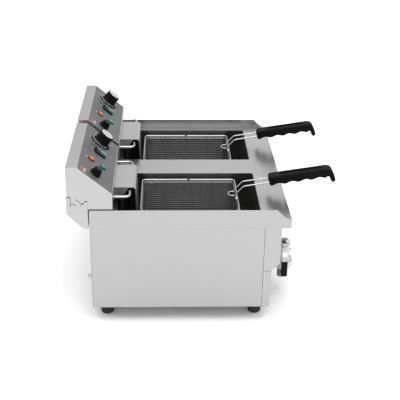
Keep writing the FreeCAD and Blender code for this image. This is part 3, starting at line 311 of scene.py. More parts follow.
def cast_lens(name, colour, glow):
    """Ribbed tinted lens: deeper colour in the thick middle, bright rim and a smooth coat."""
    made = Finish(name)
    swirl = made.noise(160.0, 2.0)
    facing = made.node("ShaderNodeLayerWeight", {"Blend": 0.35}, 1)
    tone = (swirl * 0.3 + facing * 0.7).clamped()
    made.set(Base_Color=made.shade(tone, tint(colour, 0.75), tint(colour, 1.35)),
             Roughness=0.2 + swirl * 0.1, Coat_Weight=0.25, Coat_Roughness=0.08,
             Specular_IOR_Level=0.3,
             Emission_Color=made.shade(tone, tint(colour, 0.7), colour), Emission_Strength=glow)
    made.bump(swirl, 0.00003, 0.3)
    return made.material


def ink(name, colour):
    """Screen-printed ink with slightly uneven cover."""
    made = Finish(name)
    cover = made.noise(700.0, 2.0)
    made.set(Base_Color=made.shade(cover, tint(colour, 0.82), colour), Roughness=0.42 + cover * 0.16)
    made.bump(cover, 0.00001, 0.4)
    return made.material


ALONG = (850.0, 9.0, 850.0)
ACROSS = (9.0, 850.0, 850.0)
DOWN = (700.0, 700.0, 9.0)
FINISHES = {
    "cabinet_sheet": lambda c: sheet_steel("cabinet_sheet", c.sheet, 0.36, ALONG),
    "front_sheet": lambda c: sheet_steel("front_sheet", c.sheet, 0.34, ACROSS),
    "tray_sheet": lambda c: sheet_steel("tray_sheet", c.tray, 0.27, ALONG),
    "head_sheet": lambda c: sheet_steel("head_sheet", c.head, 0.34, ACROSS),
    "shield_sheet": lambda c: sheet_steel("shield_sheet", c.head, 0.3, ACROSS),
    "tank_wall": lambda c: oily_steel("tank_wall", c.tank, 0.26, DOWN),
    "element_tube": lambda c: oily_steel("element_tube", c.element, 0.3, (240.0, 40.0, 240.0)),
    "polished_chrome": lambda c: plated("polished_chrome", c.chrome, 0.07),
    "bright_rod": lambda c: plated("bright_rod", c.rod, 0.16),
    "basket_wire": lambda c: plated("basket_wire", c.rod, 0.2),
    "mesh_wire": lambda c: plated("mesh_wire", c.mesh, 0.34),
    "turned_steel": lambda c: sheet_steel("turned_steel", c.rod, 0.26, ACROSS),
    "spun_cap": lambda c: sheet_steel("spun_cap", c.cap, 0.3, (260.0, 260.0, 260.0)),
    "shiny_black": lambda c: moulded("shiny_black", c.black, 0.14, 900.0, 0.00001, 2.0, 0.03, sheen=0.04),
    "satin_black": lambda c: moulded("satin_black", c.black, 0.4, 1100.0, 0.00003, sheen=0.06),
    "grip_black": lambda c: moulded("grip_black", c.grip, 0.44, 620.0, 0.00006, 1.7, sheen=0.05),
    "dipped_vinyl": lambda c: moulded("dipped_vinyl", c.black, 0.36, 260.0, 0.00005, sheen=0.1),
    "foot_rubber": lambda c: moulded("foot_rubber", c.rubber, 0.7, 480.0, 0.0001),
    "cream_plastic": lambda c: moulded("cream_plastic", c.cream, 0.5, 700.0, 0.00003, 1.2),
    "fascia_film": lambda c: printed_film("fascia_film", c.fascia),
    "amber_lens": lambda c: cast_lens("amber_lens", c.amber, 0.08),
    "green_lens": lambda c: cast_lens("green_lens", c.green, 0.04),
    "switch_green": lambda c: cast_lens("switch_green", c.switch, 0.03),
    "white_ink": lambda c: ink("white_ink", (0.78, 0.78, 0.78)),
    "pale_label": lambda c: ink("pale_label", (0.42, 0.4, 0.4)),
    "red_ink": lambda c: ink("red_ink", (0.36, 0.045, 0.04)),
    "gap_shadow": lambda c: moulded("gap_shadow", (0.02, 0.02, 0.02), 0.8, 300.0, 0.00002),
}


def finish(name):
    """The named material, made the first time that it is asked for."""
    made = bpy.data.materials.get(f"{name}_finish")
    return made or FINISHES[name](bpy.context.scene.fryer_colours)


NODE_FINISHES = {
    "worktop": "tray_sheet", "side_panel": "cabinet_sheet", "rear_panel": "front_sheet",
    "base_plate": "cabinet_sheet", "front_panel": "front_sheet", "feet": "foot_rubber",
    "bonding_stud": "bright_rod", "tank": "tank_wall", "tap": "polished_chrome",
    "tap_lever": "turned_steel", "lever_sleeve": "dipped_vinyl", "hinge_bracket": "head_sheet",
    "head_casing": "head_sheet", "hinge_studs": "head_sheet", "head_underplate": "front_sheet",
    "casing_screws": "bright_rod", "cable_gland": "satin_black", "heater_bracket": "shield_sheet",
    "hang_rod": "bright_rod", "heating_element": "element_tube", "probe_bulbs": "turned_steel",
    "head_fascia": "fascia_film", "thermostat": "cream_plastic", "thermostat_knob": "shiny_black",
    "rocker_housing": "satin_black", "rocker": "switch_green", "amber_lamp": "amber_lens",
    "green_lamp": "green_lens", "reset_collar": "satin_black", "reset_button": "shiny_black",
    "basket_frame": "basket_wire", "basket_mesh": "mesh_wire", "basket_grip": "grip_black",
}


# ---------------------------------------------------------------- making a piece
def add_piece(name, mesh, body, slot, *nodes):
    """Link a finished mesh as a piece that rides on a body and stands for the named CAD nodes."""
    mesh.name = name
    shape = bpy.data.objects.new(name, mesh)
    bpy.context.scene.collection.objects.link(shape)
    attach(shape, body)
    if nodes:
        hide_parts(*nodes)
    return shape


def circle(radius, height, steps=48, flutes=0, depth=0.0):
    """A round outline at a height, with an even number of flutes cut into it if asked."""
    points = []
    for step in range(steps):
        angle = math.tau * step / steps
        reach = radius - depth * (0.5 + 0.5 * math.cos(angle * flutes)) if flutes else radius
        points.append((reach * math.cos(angle), reach * math.sin(angle), height))
    return points


def turned(profile, steps=48, flutes=0):
    """Round outlines from rows of radius, height and, if the row is fluted, the depth of its flutes."""
    return [circle(radius, height, steps, flutes, *depth) for radius, height, *depth in profile]


def rounded_box(wide, deep, corner, height, steps=5):
    """A rectangular outline with rounded corners at a height."""
    points = []
    for quarter, (way_x, way_y) in enumerate(((1, 1), (-1, 1), (-1, -1), (1, -1))):
        for step in range(steps + 1):
            angle = math.radians(90 * (quarter + step / steps))
            points.append((way_x * (wide / 2 - corner) + corner * math.cos(angle),
                           way_y * (deep / 2 - corner) + corner * math.sin(angle), height))
    return points


def skin(stacks):
    """One mesh from stacks, each a closed skin over outlines that have as many points as each other."""
    shape = bmesh.new()
    for rings, matrix in stacks:
        rows = [[shape.verts.new(matrix @ Vector(point)) for point in ring] for ring in rings]
        for low, high in zip(rows, rows[1:]):
            for index in range(len(low)):
                after = (index + 1) % len(low)
                shape.faces.new((low[index], low[after], high[after], high[index]))
        shape.faces.new(rows[0])
        shape.faces.new(rows[-1])
    bmesh.ops.recalc_face_normals(shape, faces=shape.faces)
    mesh = bpy.data.meshes.new("skin")
    shape.to_mesh(mesh)
    shape.free()
    mesh.shade_smooth()
    mesh.set_sharp_from_angle(angle=math.radians(38))
    return mesh


def solid_piece(name, stacks, body, slot, coat, *nodes):
    """A piece made of closed skins with one finish."""
    mesh = skin(stacks)
    mesh.materials.append(finish(coat))
    return add_piece(name, mesh, body, slot, *nodes)


# ---------------------------------------------------------------- geometry node trees
def new_tree(name, sockets):
    """An empty geometry tree with named inputs, and those inputs by name."""
    tree = bpy.data.node_groups.new(name, "GeometryNodeTree")
    tree.interface.new_socket("Geometry", in_out="INPUT", socket_type="NodeSocketGeometry")
    for title, kind in sockets.items():
        tree.interface.new_socket(title, in_out="INPUT", socket_type=f"NodeSocket{kind}")
    tree.interface.new_socket("Geometry", in_out="OUTPUT", socket_type="NodeSocketGeometry")
    entry = tree.nodes.new("NodeGroupInput")
    given = {title: Signal(tree, entry.outputs[title]) for title in ("Geometry", *sockets)}
    return tree, given


def close_tree(tree, geometry, coat):
    """End the tree with real geometry, smooth shading and its material."""
    real = add_node(tree, "GeometryNodeRealizeInstances", {0: geometry})
    smooth = add_node(tree, "GeometryNodeSetShadeSmooth", {"Geometry": real})
    painted = add_node(tree, "GeometryNodeSetMaterial", {"Geometry": smooth, "Material": coat})
    feed(tree, tree.nodes.new("NodeGroupOutput").inputs["Geometry"], painted)
    return tree


def tube(tree, curve, thickness, sides):
    """A round closed tube along a curve."""
    ring = add_node(tree, "GeometryNodeCurvePrimitiveCircle", {0: sides, "Radius": thickness * 0.5})
    return add_node(tree, "GeometryNodeCurveToMesh", {0: curve, 1: ring, "Fill Caps": True})


def bent_wire_tree():
    """Wires bent round their corners along the edges that they are given."""
    tree, given = new_tree("bent_wire", {"Thickness": "Float", "Bend": "Float", "Steps": "Int",
                                         "Sides": "Int", "Finish": "Material"})
    curve = add_node(tree, "GeometryNodeMeshToCurve", {0: given["Geometry"]})
    bent = add_node(tree, "GeometryNodeFilletCurve",
                    {"Curve": curve, "Count": given["Steps"], "Radius": given["Bend"],
                     "Limit Radius": True}, mode="POLY")
    return close_tree(tree, tube(tree, bent, given["Thickness"], given["Sides"]), given["Finish"])


def woven_tree():
    """A row of like wires, each crimped up and down where the wires of another row cross it."""
    tree, given = new_tree("woven_row", {"Thickness": "Float", "Bend": "Float", "Pitch": "Float",
                                         "Crimp": "Float", "Count": "Int", "Step": "Vector",
                                         "Axis": "Vector", "Sides": "Int", "Finish": "Material"})
    curve = add_node(tree, "GeometryNodeMeshToCurve", {0: given["Geometry"]})
    bent = add_node(tree, "GeometryNodeFilletCurve",
                    {"Curve": curve, "Count": 4, "Radius": given["Bend"]}, mode="POLY")
    even = add_node(tree, "GeometryNodeResampleCurve", {"Curve": bent, "Length": given["Pitch"]},
                    mode="LENGTH")
    line = add_node(tree, "GeometryNodeMeshLine", {"Count": given["Count"], "Offset": given["Step"]})
    copies = add_node(tree, "GeometryNodeInstanceOnPoints", {"Points": line, "Instance": even})
    number = add_node(tree, "GeometryNodeInputIndex")
    marked = add_node(tree, "GeometryNodeStoreNamedAttribute",
                      {"Geometry": copies, "Name": "row", "Value": number}, data_type="INT",
                      domain="INSTANCE")
    real = add_node(tree, "GeometryNodeRealizeInstances", {0: marked})
    row = add_node(tree, "GeometryNodeInputNamedAttribute", {"Name": "row"}, data_type="INT")
    along = add_node(tree, "GeometryNodeSplineParameter", output="Index")
    side = (along + row).math("MODULO", 2.0) * 2.0 - 1.0
    tangent = add_node(tree, "GeometryNodeInputTangent")
    across = add_node(tree, "ShaderNodeVectorMath", {0: tangent, 1: given["Axis"]},
                      operation="CROSS_PRODUCT")
    unit = add_node(tree, "ShaderNodeVectorMath", {0: across}, operation="NORMALIZE")
    push = add_node(tree, "ShaderNodeVectorMath", {0: unit, "Scale": side * given["Crimp"]},
                    operation="SCALE")
    crimped = add_node(tree, "GeometryNodeSetPosition", {"Geometry": real, "Offset": push})
    return close_tree(tree, tube(tree, crimped, given["Thickness"], given["Sides"]), given["Finish"])


def ticks_tree():
    """Printed bars set round a dial."""
    tree, given = new_tree("dial_ticks", {"Count": "Int", "Radius": "Float", "Start": "Float",
                                          "Spread": "Float", "Bar": "Vector", "Finish": "Material"})
    points = add_node(tree, "GeometryNodeMeshLine", {"Count": given["Count"]})
    turn = add_node(tree, "GeometryNodeInputIndex") * given["Spread"] + given["Start"]
    east = turn.math("COSINE") * given["Radius"]
    north = turn.math("SINE") * given["Radius"]
    place = add_node(tree, "ShaderNodeCombineXYZ", {"X": east, "Y": north})
    spread = add_node(tree, "GeometryNodeSetPosition", {"Geometry": points, "Position": place})
    bar = add_node(tree, "GeometryNodeMeshCube", {"Size": given["Bar"]})
    spin = add_node(tree, "ShaderNodeCombineXYZ", {"Z": turn})
    bars = add_node(tree, "GeometryNodeInstanceOnPoints",
                    {"Points": spread, "Instance": bar, "Rotation": spin})
    return close_tree(tree, bars, given["Finish"])


TREES = {"bent_wire": bent_wire_tree, "woven_row": woven_tree, "dial_ticks": ticks_tree}


def grown(tree_name, paths, values, matrix=Matrix()):
    """The plain mesh that a tree makes of paths of points, each (points, closed), in metres."""
    tree = bpy.data.node_groups.get(tree_name) or TREES[tree_name]()
    points, edges = [], []
    for path, closed in paths:
        first = len(points)
        points += path
        edges += [(index, index + 1) for index in range(first, len(points) - 1)]
        if closed:
            edges.append((len(points) - 1, first))
    data = bpy.data.meshes.new("paths")
    data.from_pydata([tuple(point) for point in points], edges, [])
    source = bpy.data.objects.new("paths", data)
    bpy.context.scene.collection.objects.link(source)
    modifier = source.modifiers.new("grow", "NODES")
    modifier.node_group = tree
    for item in tree.interface.items_tree:
        if item.in_out == "INPUT" and item.name in values:
            modifier[item.identifier] = values[item.name]
    seen = source.evaluated_get(bpy.context.evaluated_depsgraph_get())
    mesh = bpy.data.meshes.new_from_object(seen)
    source.modifiers.clear()
    bpy.data.objects.remove(source)
    mesh.transform(matrix)
    return mesh


def joined(meshes):
    """Several meshes as one, with the material of the first."""
    shape = bmesh.new()
    for mesh in meshes:
        shape.from_mesh(mesh)
    for face in shape.faces:
        face.material_index = 0
    bmesh.ops.recalc_face_normals(shape, faces=shape.faces)
    result = bpy.data.meshes.new("joined")
    shape.to_mesh(result)
    shape.free()
    result.materials.append(meshes[0].materials[0])
    return result


def wires(side, paths, thickness, bend, coat, sides=10):
    """Bent wires of one unit, with paths of (across, forward, up) in millimetres."""
    lines = [([spot(side, *point) for point in path], closed) for path, closed in paths]
    return grown("bent_wire", lines, {"Thickness": thickness * MM, "Bend": bend * MM, "Steps": 5,
                                      "Sides": sides, "Finish": finish(coat)})


def lettering(words, size, matrix, coat):
    """Raised figures as a plain mesh."""
    curve = bpy.data.curves.new("figures", "FONT")
    curve.body, curve.size, curve.extrude = words, size, 0.04
    curve.align_x = curve.align_y = "CENTER"
    holder = bpy.data.objects.new("figures", curve)
    bpy.context.scene.collection.objects.link(holder)
    seen = holder.evaluated_get(bpy.context.evaluated_depsgraph_get())
    mesh = bpy.data.meshes.new_from_object(seen)
    bpy.data.objects.remove(holder)
    mesh.transform(matrix)
    mesh.materials.clear()
    mesh.materials.append(finish(coat))
    return mesh


# ---------------------------------------------------------------- settings
class FryerSizes(bpy.types.PropertyGroup):
    """Sizes of the finer pieces."""


def length(name, description, default):
    return FloatProperty(name=name, description=description, default=default * MM, subtype="DISTANCE",
                         unit="LENGTH", min=0.0, precision=4)


FryerSizes.__annotations__ = {
    "mesh_pitch": length("Mesh pitch", "Distance between the wires of the basket walls", 5.6),
    "mesh_wire": length("Mesh wire", "Thickness of the wires of the basket walls", 1.25),
    "rim_wire": length("Rim wire", "Thickness of the basket rim and handle wires", 4.6),
    "rib_wire": length("Rib wire", "Thickness of the basket ribs", 3.0),
    "knob_flutes": IntProperty(name="Knob flutes", description="Flutes round a thermostat knob",
                               default=18, min=6, max=48),
    "dial_ticks": IntProperty(name="Dial ticks", description="Ticks printed round a thermostat knob",
                              default=15, min=2, max=60),
}


class FryerColours(bpy.types.PropertyGroup):
    """Base colours of the finishes."""


def colour(name, description, default):
    return FloatVectorProperty(name=name, description=description, default=default, subtype="COLOR",
                               size=3, min=0.0, max=1.0)


FryerColours.__annotations__ = {
    "sheet": colour("Cabinet sheet", "Brushed steel of the cabinet", (0.43, 0.43, 0.43)),
    "tray": colour("Tray sheet", "Brushed steel of the worktop", (0.415, 0.415, 0.415)),
    "head": colour("Head sheet", "Brushed steel of the heads and brackets", (0.465, 0.465, 0.465)),
    "tank": colour("Tank wall", "Oil-darkened steel of the tanks", (0.23, 0.229, 0.226)),
    "element": colour("Element tube", "Oxidised tube of the heating element", (0.1, 0.09, 0.085)),
    "chrome": colour("Chrome", "Plating of the drain taps", (0.56, 0.56, 0.57)),
    "rod": colour("Bright wire", "Plated wire of the baskets and rods", (0.46, 0.46, 0.46)),
    "cap": colour("Knob cap", "Spun metal cap of the thermostat knobs", (0.62, 0.62, 0.62)),
    "mesh": colour("Mesh wire", "Thin wire of the basket walls", (0.33, 0.33, 0.33)),
    "black": colour("Black plastic", "Knobs, switch housings and reset caps", (0.004, 0.004, 0.004)),
    "grip": colour("Grip plastic", "Charcoal plastic of the basket grips", (0.004, 0.004, 0.0043)),
    "rubber": colour("Foot rubber", "Rubber of the feet", (0.025, 0.025, 0.025)),
    "cream": colour("Inner plastic", "Thermostat body inside the head", (0.5, 0.44, 0.32)),
    "fascia": colour("Fascia film", "Printed film of the sloped fascia", (0.075, 0.075, 0.078)),
    "amber": colour("Amber lens", "Heating lamp", (0.5, 0.115, 0.01)),
    "green": colour("Green lens", "Power lamp", (0.01, 0.19, 0.125)),
    "switch": colour("Switch green", "Tinted rocker of the switch", (0.04, 0.105, 0.085)),
}


# ---------------------------------------------------------------- operators
class FRYER_OT_frame_finishes(bpy.types.Operator):
    """Give every sheet, tube and fitting of the frame its finish"""

    bl_idname = "fryer.frame_finishes"
    bl_label = "Frame finishes"

    def execute(self, context):
        for name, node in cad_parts.items():
            kind = name.removesuffix("_left").removesuffix("_right")
            node.data.materials.clear()
            node.data.materials.append(finish(NODE_FINISHES[kind]))
        return {"FINISHED"}


class FRYER_OT_basket_walls(bpy.types.Operator):
    """Weave the square wire mesh of each basket"""

    bl_idname = "fryer.basket_walls"
    bl_label = "Basket walls"

    def execute(self, context):
        sizes = context.scene.fryer_sizes
        pitch, wire = sizes.mesh_pitch, sizes.mesh_wire
        for side in SIDES:
            low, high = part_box(f"basket_mesh_{side}")
            low, high = low + Vector([WALL_INSET] * 3), high - Vector([WALL_INSET] * 3)
            top = high.z + 0.0015
            shared = {"Thickness": wire, "Pitch": pitch, "Sides": 4, "Finish": finish("mesh_wire")}
            crimp = wire * 0.3
            made = []
            for start, end, axis, extent in (
                    (Vector((low.x, low.y, 0)), Vector((high.x, low.y, 0)), Vector((0, 1, 0)),
                     high.y - low.y),
                    (Vector((low.x, high.y, 0)), Vector((low.x, low.y, 0)), Vector((1, 0, 0)),
                     high.x - low.x)):
                edge = WALL_CORNER + 0.001
                count = round((extent - edge * 2) / pitch)
                step = axis * ((extent - edge * 2) / (count - 1))
                shift = axis * edge
                path = [start + shift + Vector((0, 0, top)), start + shift + Vector((0, 0, low.z)),
                        end + shift + Vector((0, 0, low.z)), end + shift + Vector((0, 0, top))]
                made.append(grown("woven_row", [(path, False)],
                                  {**shared, "Bend": WALL_BEND, "Crimp": crimp, "Count": count,
                                   "Step": tuple(step), "Axis": tuple(axis)}))
            rows = round((top - low.z - WALL_BEND) / pitch)
            ring = [Vector((low.x, low.y, 0)), Vector((high.x, low.y, 0)), Vector((high.x, high.y, 0)),
                    Vector((low.x, high.y, 0))]
            rise = (top - low.z - WALL_BEND) / rows
            ring = [point + Vector((0, 0, low.z + WALL_BEND)) for point in ring]
            made.append(grown("woven_row", [(ring, True)],
                              {**shared, "Bend": WALL_CORNER, "Crimp": crimp, "Count": rows + 1,
                               "Step": (0.0, 0.0, rise), "Axis": (0.0, 0.0, 1.0)}))
            uprights = []
            for way_x, x in ((1, low.x), (-1, high.x)):
                for way_y, y in ((1, low.y), (-1, high.y)):
                    for angle in (20, 45, 70):
                        turn = math.radians(angle)
                        reach_x = WALL_CORNER * (1 - math.cos(turn)) * way_x
                        reach_y = WALL_CORNER * (1 - math.sin(turn)) * way_y
                        toward = Vector((WALL_CORNER * way_x, WALL_CORNER * way_y, 0)) * 0.8
                        foot = Vector((x + reach_x, y + reach_y, low.z + WALL_BEND))
                        uprights.append(([Vector((foot.x, foot.y, top)), foot,
                                          foot + toward - Vector((0, 0, WALL_BEND * 0.9))], False))
            made.append(grown("bent_wire", uprights,
                              {"Thickness": wire, "Bend": 0.01, "Steps": 3, "Sides": 4,
                               "Finish": finish("mesh_wire")}))
            add_piece(f"basket_weave_{side}", joined(made), f"basket_{side}", "mesh_wire",
                      f"basket_mesh_{side}")
        return {"FINISHED"}


class FRYER_OT_basket_wires(bpy.types.Operator):
    """Bend the rim, the ribs, the catch and the handle wires of each basket"""

    bl_idname = "fryer.basket_wires"
    bl_label = "Basket wires"

    def execute(self, context):
        sizes = context.scene.fryer_sizes
        rim, rib = sizes.rim_wire / MM, sizes.rib_wire / MM
        for side in SIDES:
            body = f"basket_{side}"
            low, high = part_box(f"basket_mesh_{side}")
            grip_low, grip_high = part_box(f"basket_grip_{side}")
            half = (high.x - low.x) / 2 / MM + rim / 2
            _, back, _ = millimetres(high)
            _, front, _ = millimetres(low)
            back, front = back - rim / 2, front + rim / 2
            top, floor = high.z / MM + rim / 2, low.z / MM
            _, grip_back, _ = millimetres(grip_high)
            grip_level = grip_low.z / MM + GRIP_HALF

            def loop(reach, height):
                return [(-reach, back + half - reach, height), (reach, back + half - reach, height),
                        (reach, front - half + reach, height), (-reach, front - half + reach, height)]

            rims = wires(side, [(loop(half, top), True)], rim * 0.85, 9.0, "basket_wire", 12)
            inner = half - 0.8
            ribs = [(loop(inner, top - 6.5), True)]
            under, drop = floor - rib / 2, top
            for across in (-half / 2, half / 2):
                ribs.append(([(across, back + 0.8, drop), (across, back + 0.8, under),
                              (across, front - 0.8, under), (across, front - 0.8, drop)], False))
            for share in (0.25, 0.75):
                forward = back + (front - back) * share
                ribs.append(([(-inner, forward, drop), (-inner, forward, under),
                              (inner, forward, under), (inner, forward, drop)], False))
            root = front - 6.5
            ribs.append(([(-11.7, root, top + 3), (-11.7, root - 14, top + 3),
                          (11.7, root - 14, top + 3), (11.7, root, top + 3)], False))
            ribs.append(([(-14, root, top - 30), (0, root - 0.2, top - 30), (14, root, top - 30)], False))
            thin = wires(side, ribs, rib, 9.0, "basket_wire", 8)
            handles = []
            for way in (-1, 1):
                near, far = 14 * way, 12.4 * way
                handles.append(([(near, root, top - 34), (near, root, top + 5),
                                 (near, front + 14, top + 28), (far, grip_back, grip_level - 2),
                                 (far, grip_back + WIRE_IN_GRIP * math.cos(GRIP_RISE),
                                  grip_level - 2 + WIRE_IN_GRIP * math.sin(GRIP_RISE))], False))
            handle = wires(side, handles, rim * 0.85, 11.0, "basket_wire", 12)
            ties = []
            for way in (-1, 1):
                coil = []
                for step in range(33):
                    turn = math.tau * step / 8
                    coil.append((way * (14 + 2.4 + step * 0.42), front - 2 + 3.1 * math.cos(turn),
                                 top + 3.1 * math.sin(turn)))
                ties.append((coil, False))
            tie = wires(side, ties, 1.3, 0.1, "basket_wire", 6)
            # Clips at the middle of each rim side, in the painted gap shadow finish: dark spots that stand
            # for the shade of a rib there.
            middle = (back + front) / 2
            clip = turned(((2.3, -3), (2.75, -2.6), (2.75, 2.6), (2.3, 3)), 16)
            lie = Matrix.Rotation(math.radians(90), 4, "X")
            solid_piece(f"rim_shade_clips_{side}",
                        [(clip, upright(side, way * half, middle, top, lie)) for way in (-1, 1)],
                        body, "bright_wire", "gap_shadow")
            add_piece(f"basket_wires_{side}", joined([rims, thin, handle, tie]), body, "bright_wire",
                      f"basket_frame_{side}")
        return {"FINISHED"}


class FRYER_OT_grips(bpy.types.Operator):
    """Mould the grip of each basket, with finger dents, a hooked nose and a groove along its top"""

    bl_idname = "fryer.grips"
    bl_label = "Basket grips"

    def execute(self, context):
        slope, high, long = math.tan(GRIP_RISE), GRIP_HALF, GRIP_LONG
        for side in SIDES:
            low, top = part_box(f"basket_grip_{side}")
            _, back, _ = millimetres(top)
            level, half = low.z / MM + high, (top.x - low.x) / 2 / MM

            def outline(groove):
                """Points of the side outline as (along, above), round from the top's rear end."""
                points = []
                for step in range(28):
                    along = 3.0 + (long - 27.0) * step / 27
                    inside = min(max((along - 22) / 6, 0), max((long - 34 - along) / 6, 0), 1)
                    points.append((along, high - groove * inside))
                points += [(long - 17, high - 1.4), (long - 12, high - 4.2), (long - 8.4, high - 9),
                           (long - 4.8, high - 17), (long - 1.6, -high - 3), (long - 0.4, -high - 8),
                           (long - 1.2, -high - 11.6), (long - 4.4, -high - 13.6),
                           (long - 8.4, -high - 12.8), (long - 11, -high - 9), (long - 12.8, -high - 3.5),
                           (long - 15.4, -high + 1.4), (long - 19, -high + 3.2)]
                for step in range(46):
                    along = long - 23 - (long - 31) * step / 45
                    dent = 0.5 + 0.5 * math.cos(math.tau * (along - DENT_FIRST) / DENT_PITCH)
                    points.append((along, -high + DENT_DEEP * dent))
                points += [(5.5, -high + 0.6), (2.0, -high + 4), (0.4, -high + 9), (0.0, high - 6),
                           (0.9, high - 2.2)]
                return points

            def inset(points, depth):
                """The outline moved inwards by a depth."""
                moved = []
                for index, (along, above) in enumerate(points):
                    before, after = points[index - 1], points[(index + 1) % len(points)]
                    run, rise = after[0] - before[0], after[1] - before[1]
                    size = math.hypot(run, rise)
                    moved.append((along + rise / size * depth, above - run / size * depth))
                return moved

            rings = []
            for across, depth, groove in ((-1, 4.6, 0), (-0.985, 3.1, 0), (-0.93, 1.4, 0),
                                          (-0.84, 0.35, 0), (-0.72, 0, 0), (-0.57, 0, 0),
                                          (-0.52, 0, 2.6), (0, 0, 3.0), (0.52, 0, 2.6), (0.57, 0, 0),
                                          (0.72, 0, 0), (0.84, 0.35, 0), (0.93, 1.4, 0),
                                          (0.985, 3.1, 0), (1, 4.6, 0)):
                rings.append([(across * half, -along, above + along * slope)
                              for along, above in inset(outline(groove), depth * 0.8)])
            solid_piece(f"grip_{side}", [(rings, upright(side, 0, back, level))], f"basket_{side}",
                        "black_plastic", "grip_black", f"basket_grip_{side}")
        return {"FINISHED"}


class FRYER_OT_knobs(bpy.types.Operator):
    """Turn each thermostat knob, with its flutes, bright cap, pointer, and a ring round its skirt whose
    white colour is a painted highlight
    """

    bl_idname = "fryer.knobs"
    bl_label = "Thermostat knobs"

    def execute(self, context):
        flutes = context.scene.fryer_sizes.knob_flutes
        for side in SIDES:
            body, place = f"knob_{side}", on_slope(side, *KNOB_AT)
            steps = flutes * 8
            knob = turned(((24.8, 0.7), (26.2, 1.0), (26.4, 1.8), (25.6, 2.6), (21.4, 4.2), (19.6, 6.0),
                           (18.9, 7.4, 0.4), (18.7, 9.0, 0.7), (18.1, 23.6, 0.7), (17.8, 26.0, 0.4),
                           (17.4, 27.2), (16.8, 27.9), (16.2, 28.0), (16.0, 27.2)), steps, flutes)
            solid_piece(f"knob_body_{side}", [(knob, place)], body, "gloss_black", "shiny_black",
                        f"thermostat_knob_{side}")
            cap = turned(((15.8, 26.6), (15.8, 27.9), (15.2, 28.3), (12.0, 28.4), (11.6, 28.2),
                          (3.0, 28.2), (0.5, 28.2)))
            solid_piece(f"knob_cap_{side}", [(cap, place)], body, "chrome", "spun_cap")
            # A bright ring round the skirt, drawn as a white arc: its colour is a painted highlight of a
            # chromed edge.
            turns = [math.radians(angle) for angle in range(-50, 231, 10)]
            arc = [Vector((23.4 * math.cos(turn), 23.4 * math.sin(turn), 3.3)) for turn in turns]
            band = grown("bent_wire", [(arc, False)],
                         {"Thickness": 0.9, "Bend": 0.1, "Steps": 1, "Sides": 6,
                          "Finish": finish("white_ink")}, place)
            add_piece(f"knob_highlight_ring_{side}", band, body, "chrome")
            mark = [rounded_box(1.5, 10.5, 0.7, height) for height in (27.0, 28.45)]
            edge = [rounded_box(1.5, 4.4, 0.7, height) for height in (2.0, 4.0)]
            solid_piece(f"knob_pointer_{side}", [(mark, place @ Matrix.Translation((0, 8.4, 0))),
                                                 (edge, place @ Matrix.Translation((0, 22.4, 0)))],
                        body, "chrome", "white_ink")
        return {"FINISHED"}


class FRYER_OT_switches(bpy.types.Operator):
    """Mould each switch: its rounded housing and its tinted rocker"""

    bl_idname = "fryer.switches"
    bl_label = "Rocker switches"

    def execute(self, context):
        for side in SIDES:
            place = on_slope(side, *ROCKER_AT)
            rings = [rounded_box(wide, deep, corner, height) for wide, deep, corner, height in
                     ((25.0, 32.0, 5.4, 0.02), (26.0, 33.0, 6.0, 0.4), (26.0, 33.0, 6.0, 1.9),
                      (25.2, 32.2, 5.2, 2.7), (23.8, 30.8, 4.2, 3.0), (20.8, 28.0, 2.4, 2.9),
                      (20.2, 27.4, 2.0, 2.3), (20.0, 27.2, 1.8, -9.0))]
            solid_piece(f"switch_housing_{side}", [(rings, place)], f"head_{side}", "gloss_black",
                        "satin_black", f"rocker_housing_{side}")
            tilted = (place @ Matrix.Translation(ROCKER_PIVOT) @ Matrix.Rotation(ROCKER_TILT, 4, "X")
                      @ Matrix.Translation(-ROCKER_PIVOT))
            long, wide = 24.4, 17.2
            rings = []
            for across, drop in ((-1, 1.5), (-0.965, 0.5), (-0.88, 0), (0.88, 0), (0.965, 0.5), (1, 1.5)):
                ring = []
                for step in range(17):
                    along = -1 + step / 8
                    dish = 2.3 * (1 - abs(along) ** 1.6)
                    corner = 0.9 * max(abs(along) - 0.93, 0) / 0.07
                    ring.append((across * wide / 2, along * long / 2, 9.2 - dish - corner - drop))
                ring += [(across * wide / 2, long / 2, 1), (across * wide / 2, long / 4, -4.4),
                         (across * wide / 2, -long / 4, -4.4), (across * wide / 2, -long / 2, 1)]
                rings.append(ring)
            solid_piece(f"switch_rocker_{side}", [(rings, tilted)], f"rocker_{side}", "switch_green",
                        "switch_green", f"rocker_{side}")
        return {"FINISHED"}


class FRYER_OT_lamps(bpy.types.Operator):
    """Cast the amber and green lamps in their dark bezels"""

    bl_idname = "fryer.lamps"
    bl_label = "Signal lamps"

    def execute(self, context):
        for side in SIDES:
            for name, lamp_at in LAMPS_AT.items():
                place = on_slope(side, *lamp_at)
                bezel = turned(((8.4, 0.02), (8.7, 0.5), (8.4, 1.3), (7.5, 1.7), (6.9, 1.5), (6.8, 0.5)))
                solid_piece(f"{name}_bezel_{side}", [(bezel, place)], f"head_{side}", "black_plastic",
                            "satin_black")
                lens = turned(((6.7, 0.6), (6.7, 2.0, 0.25), (6.3, 3.2, 0.3), (5.2, 4.2, 0.2),
                               (3.2, 4.8), (0.6, 4.9)), flutes=24)
                solid_piece(f"{name}_lens_{side}", [(lens, place)], f"head_{side}", f"{name}_lens",
                            f"{name}_lens", f"{name}_lamp_{side}")
        return {"FINISHED"}


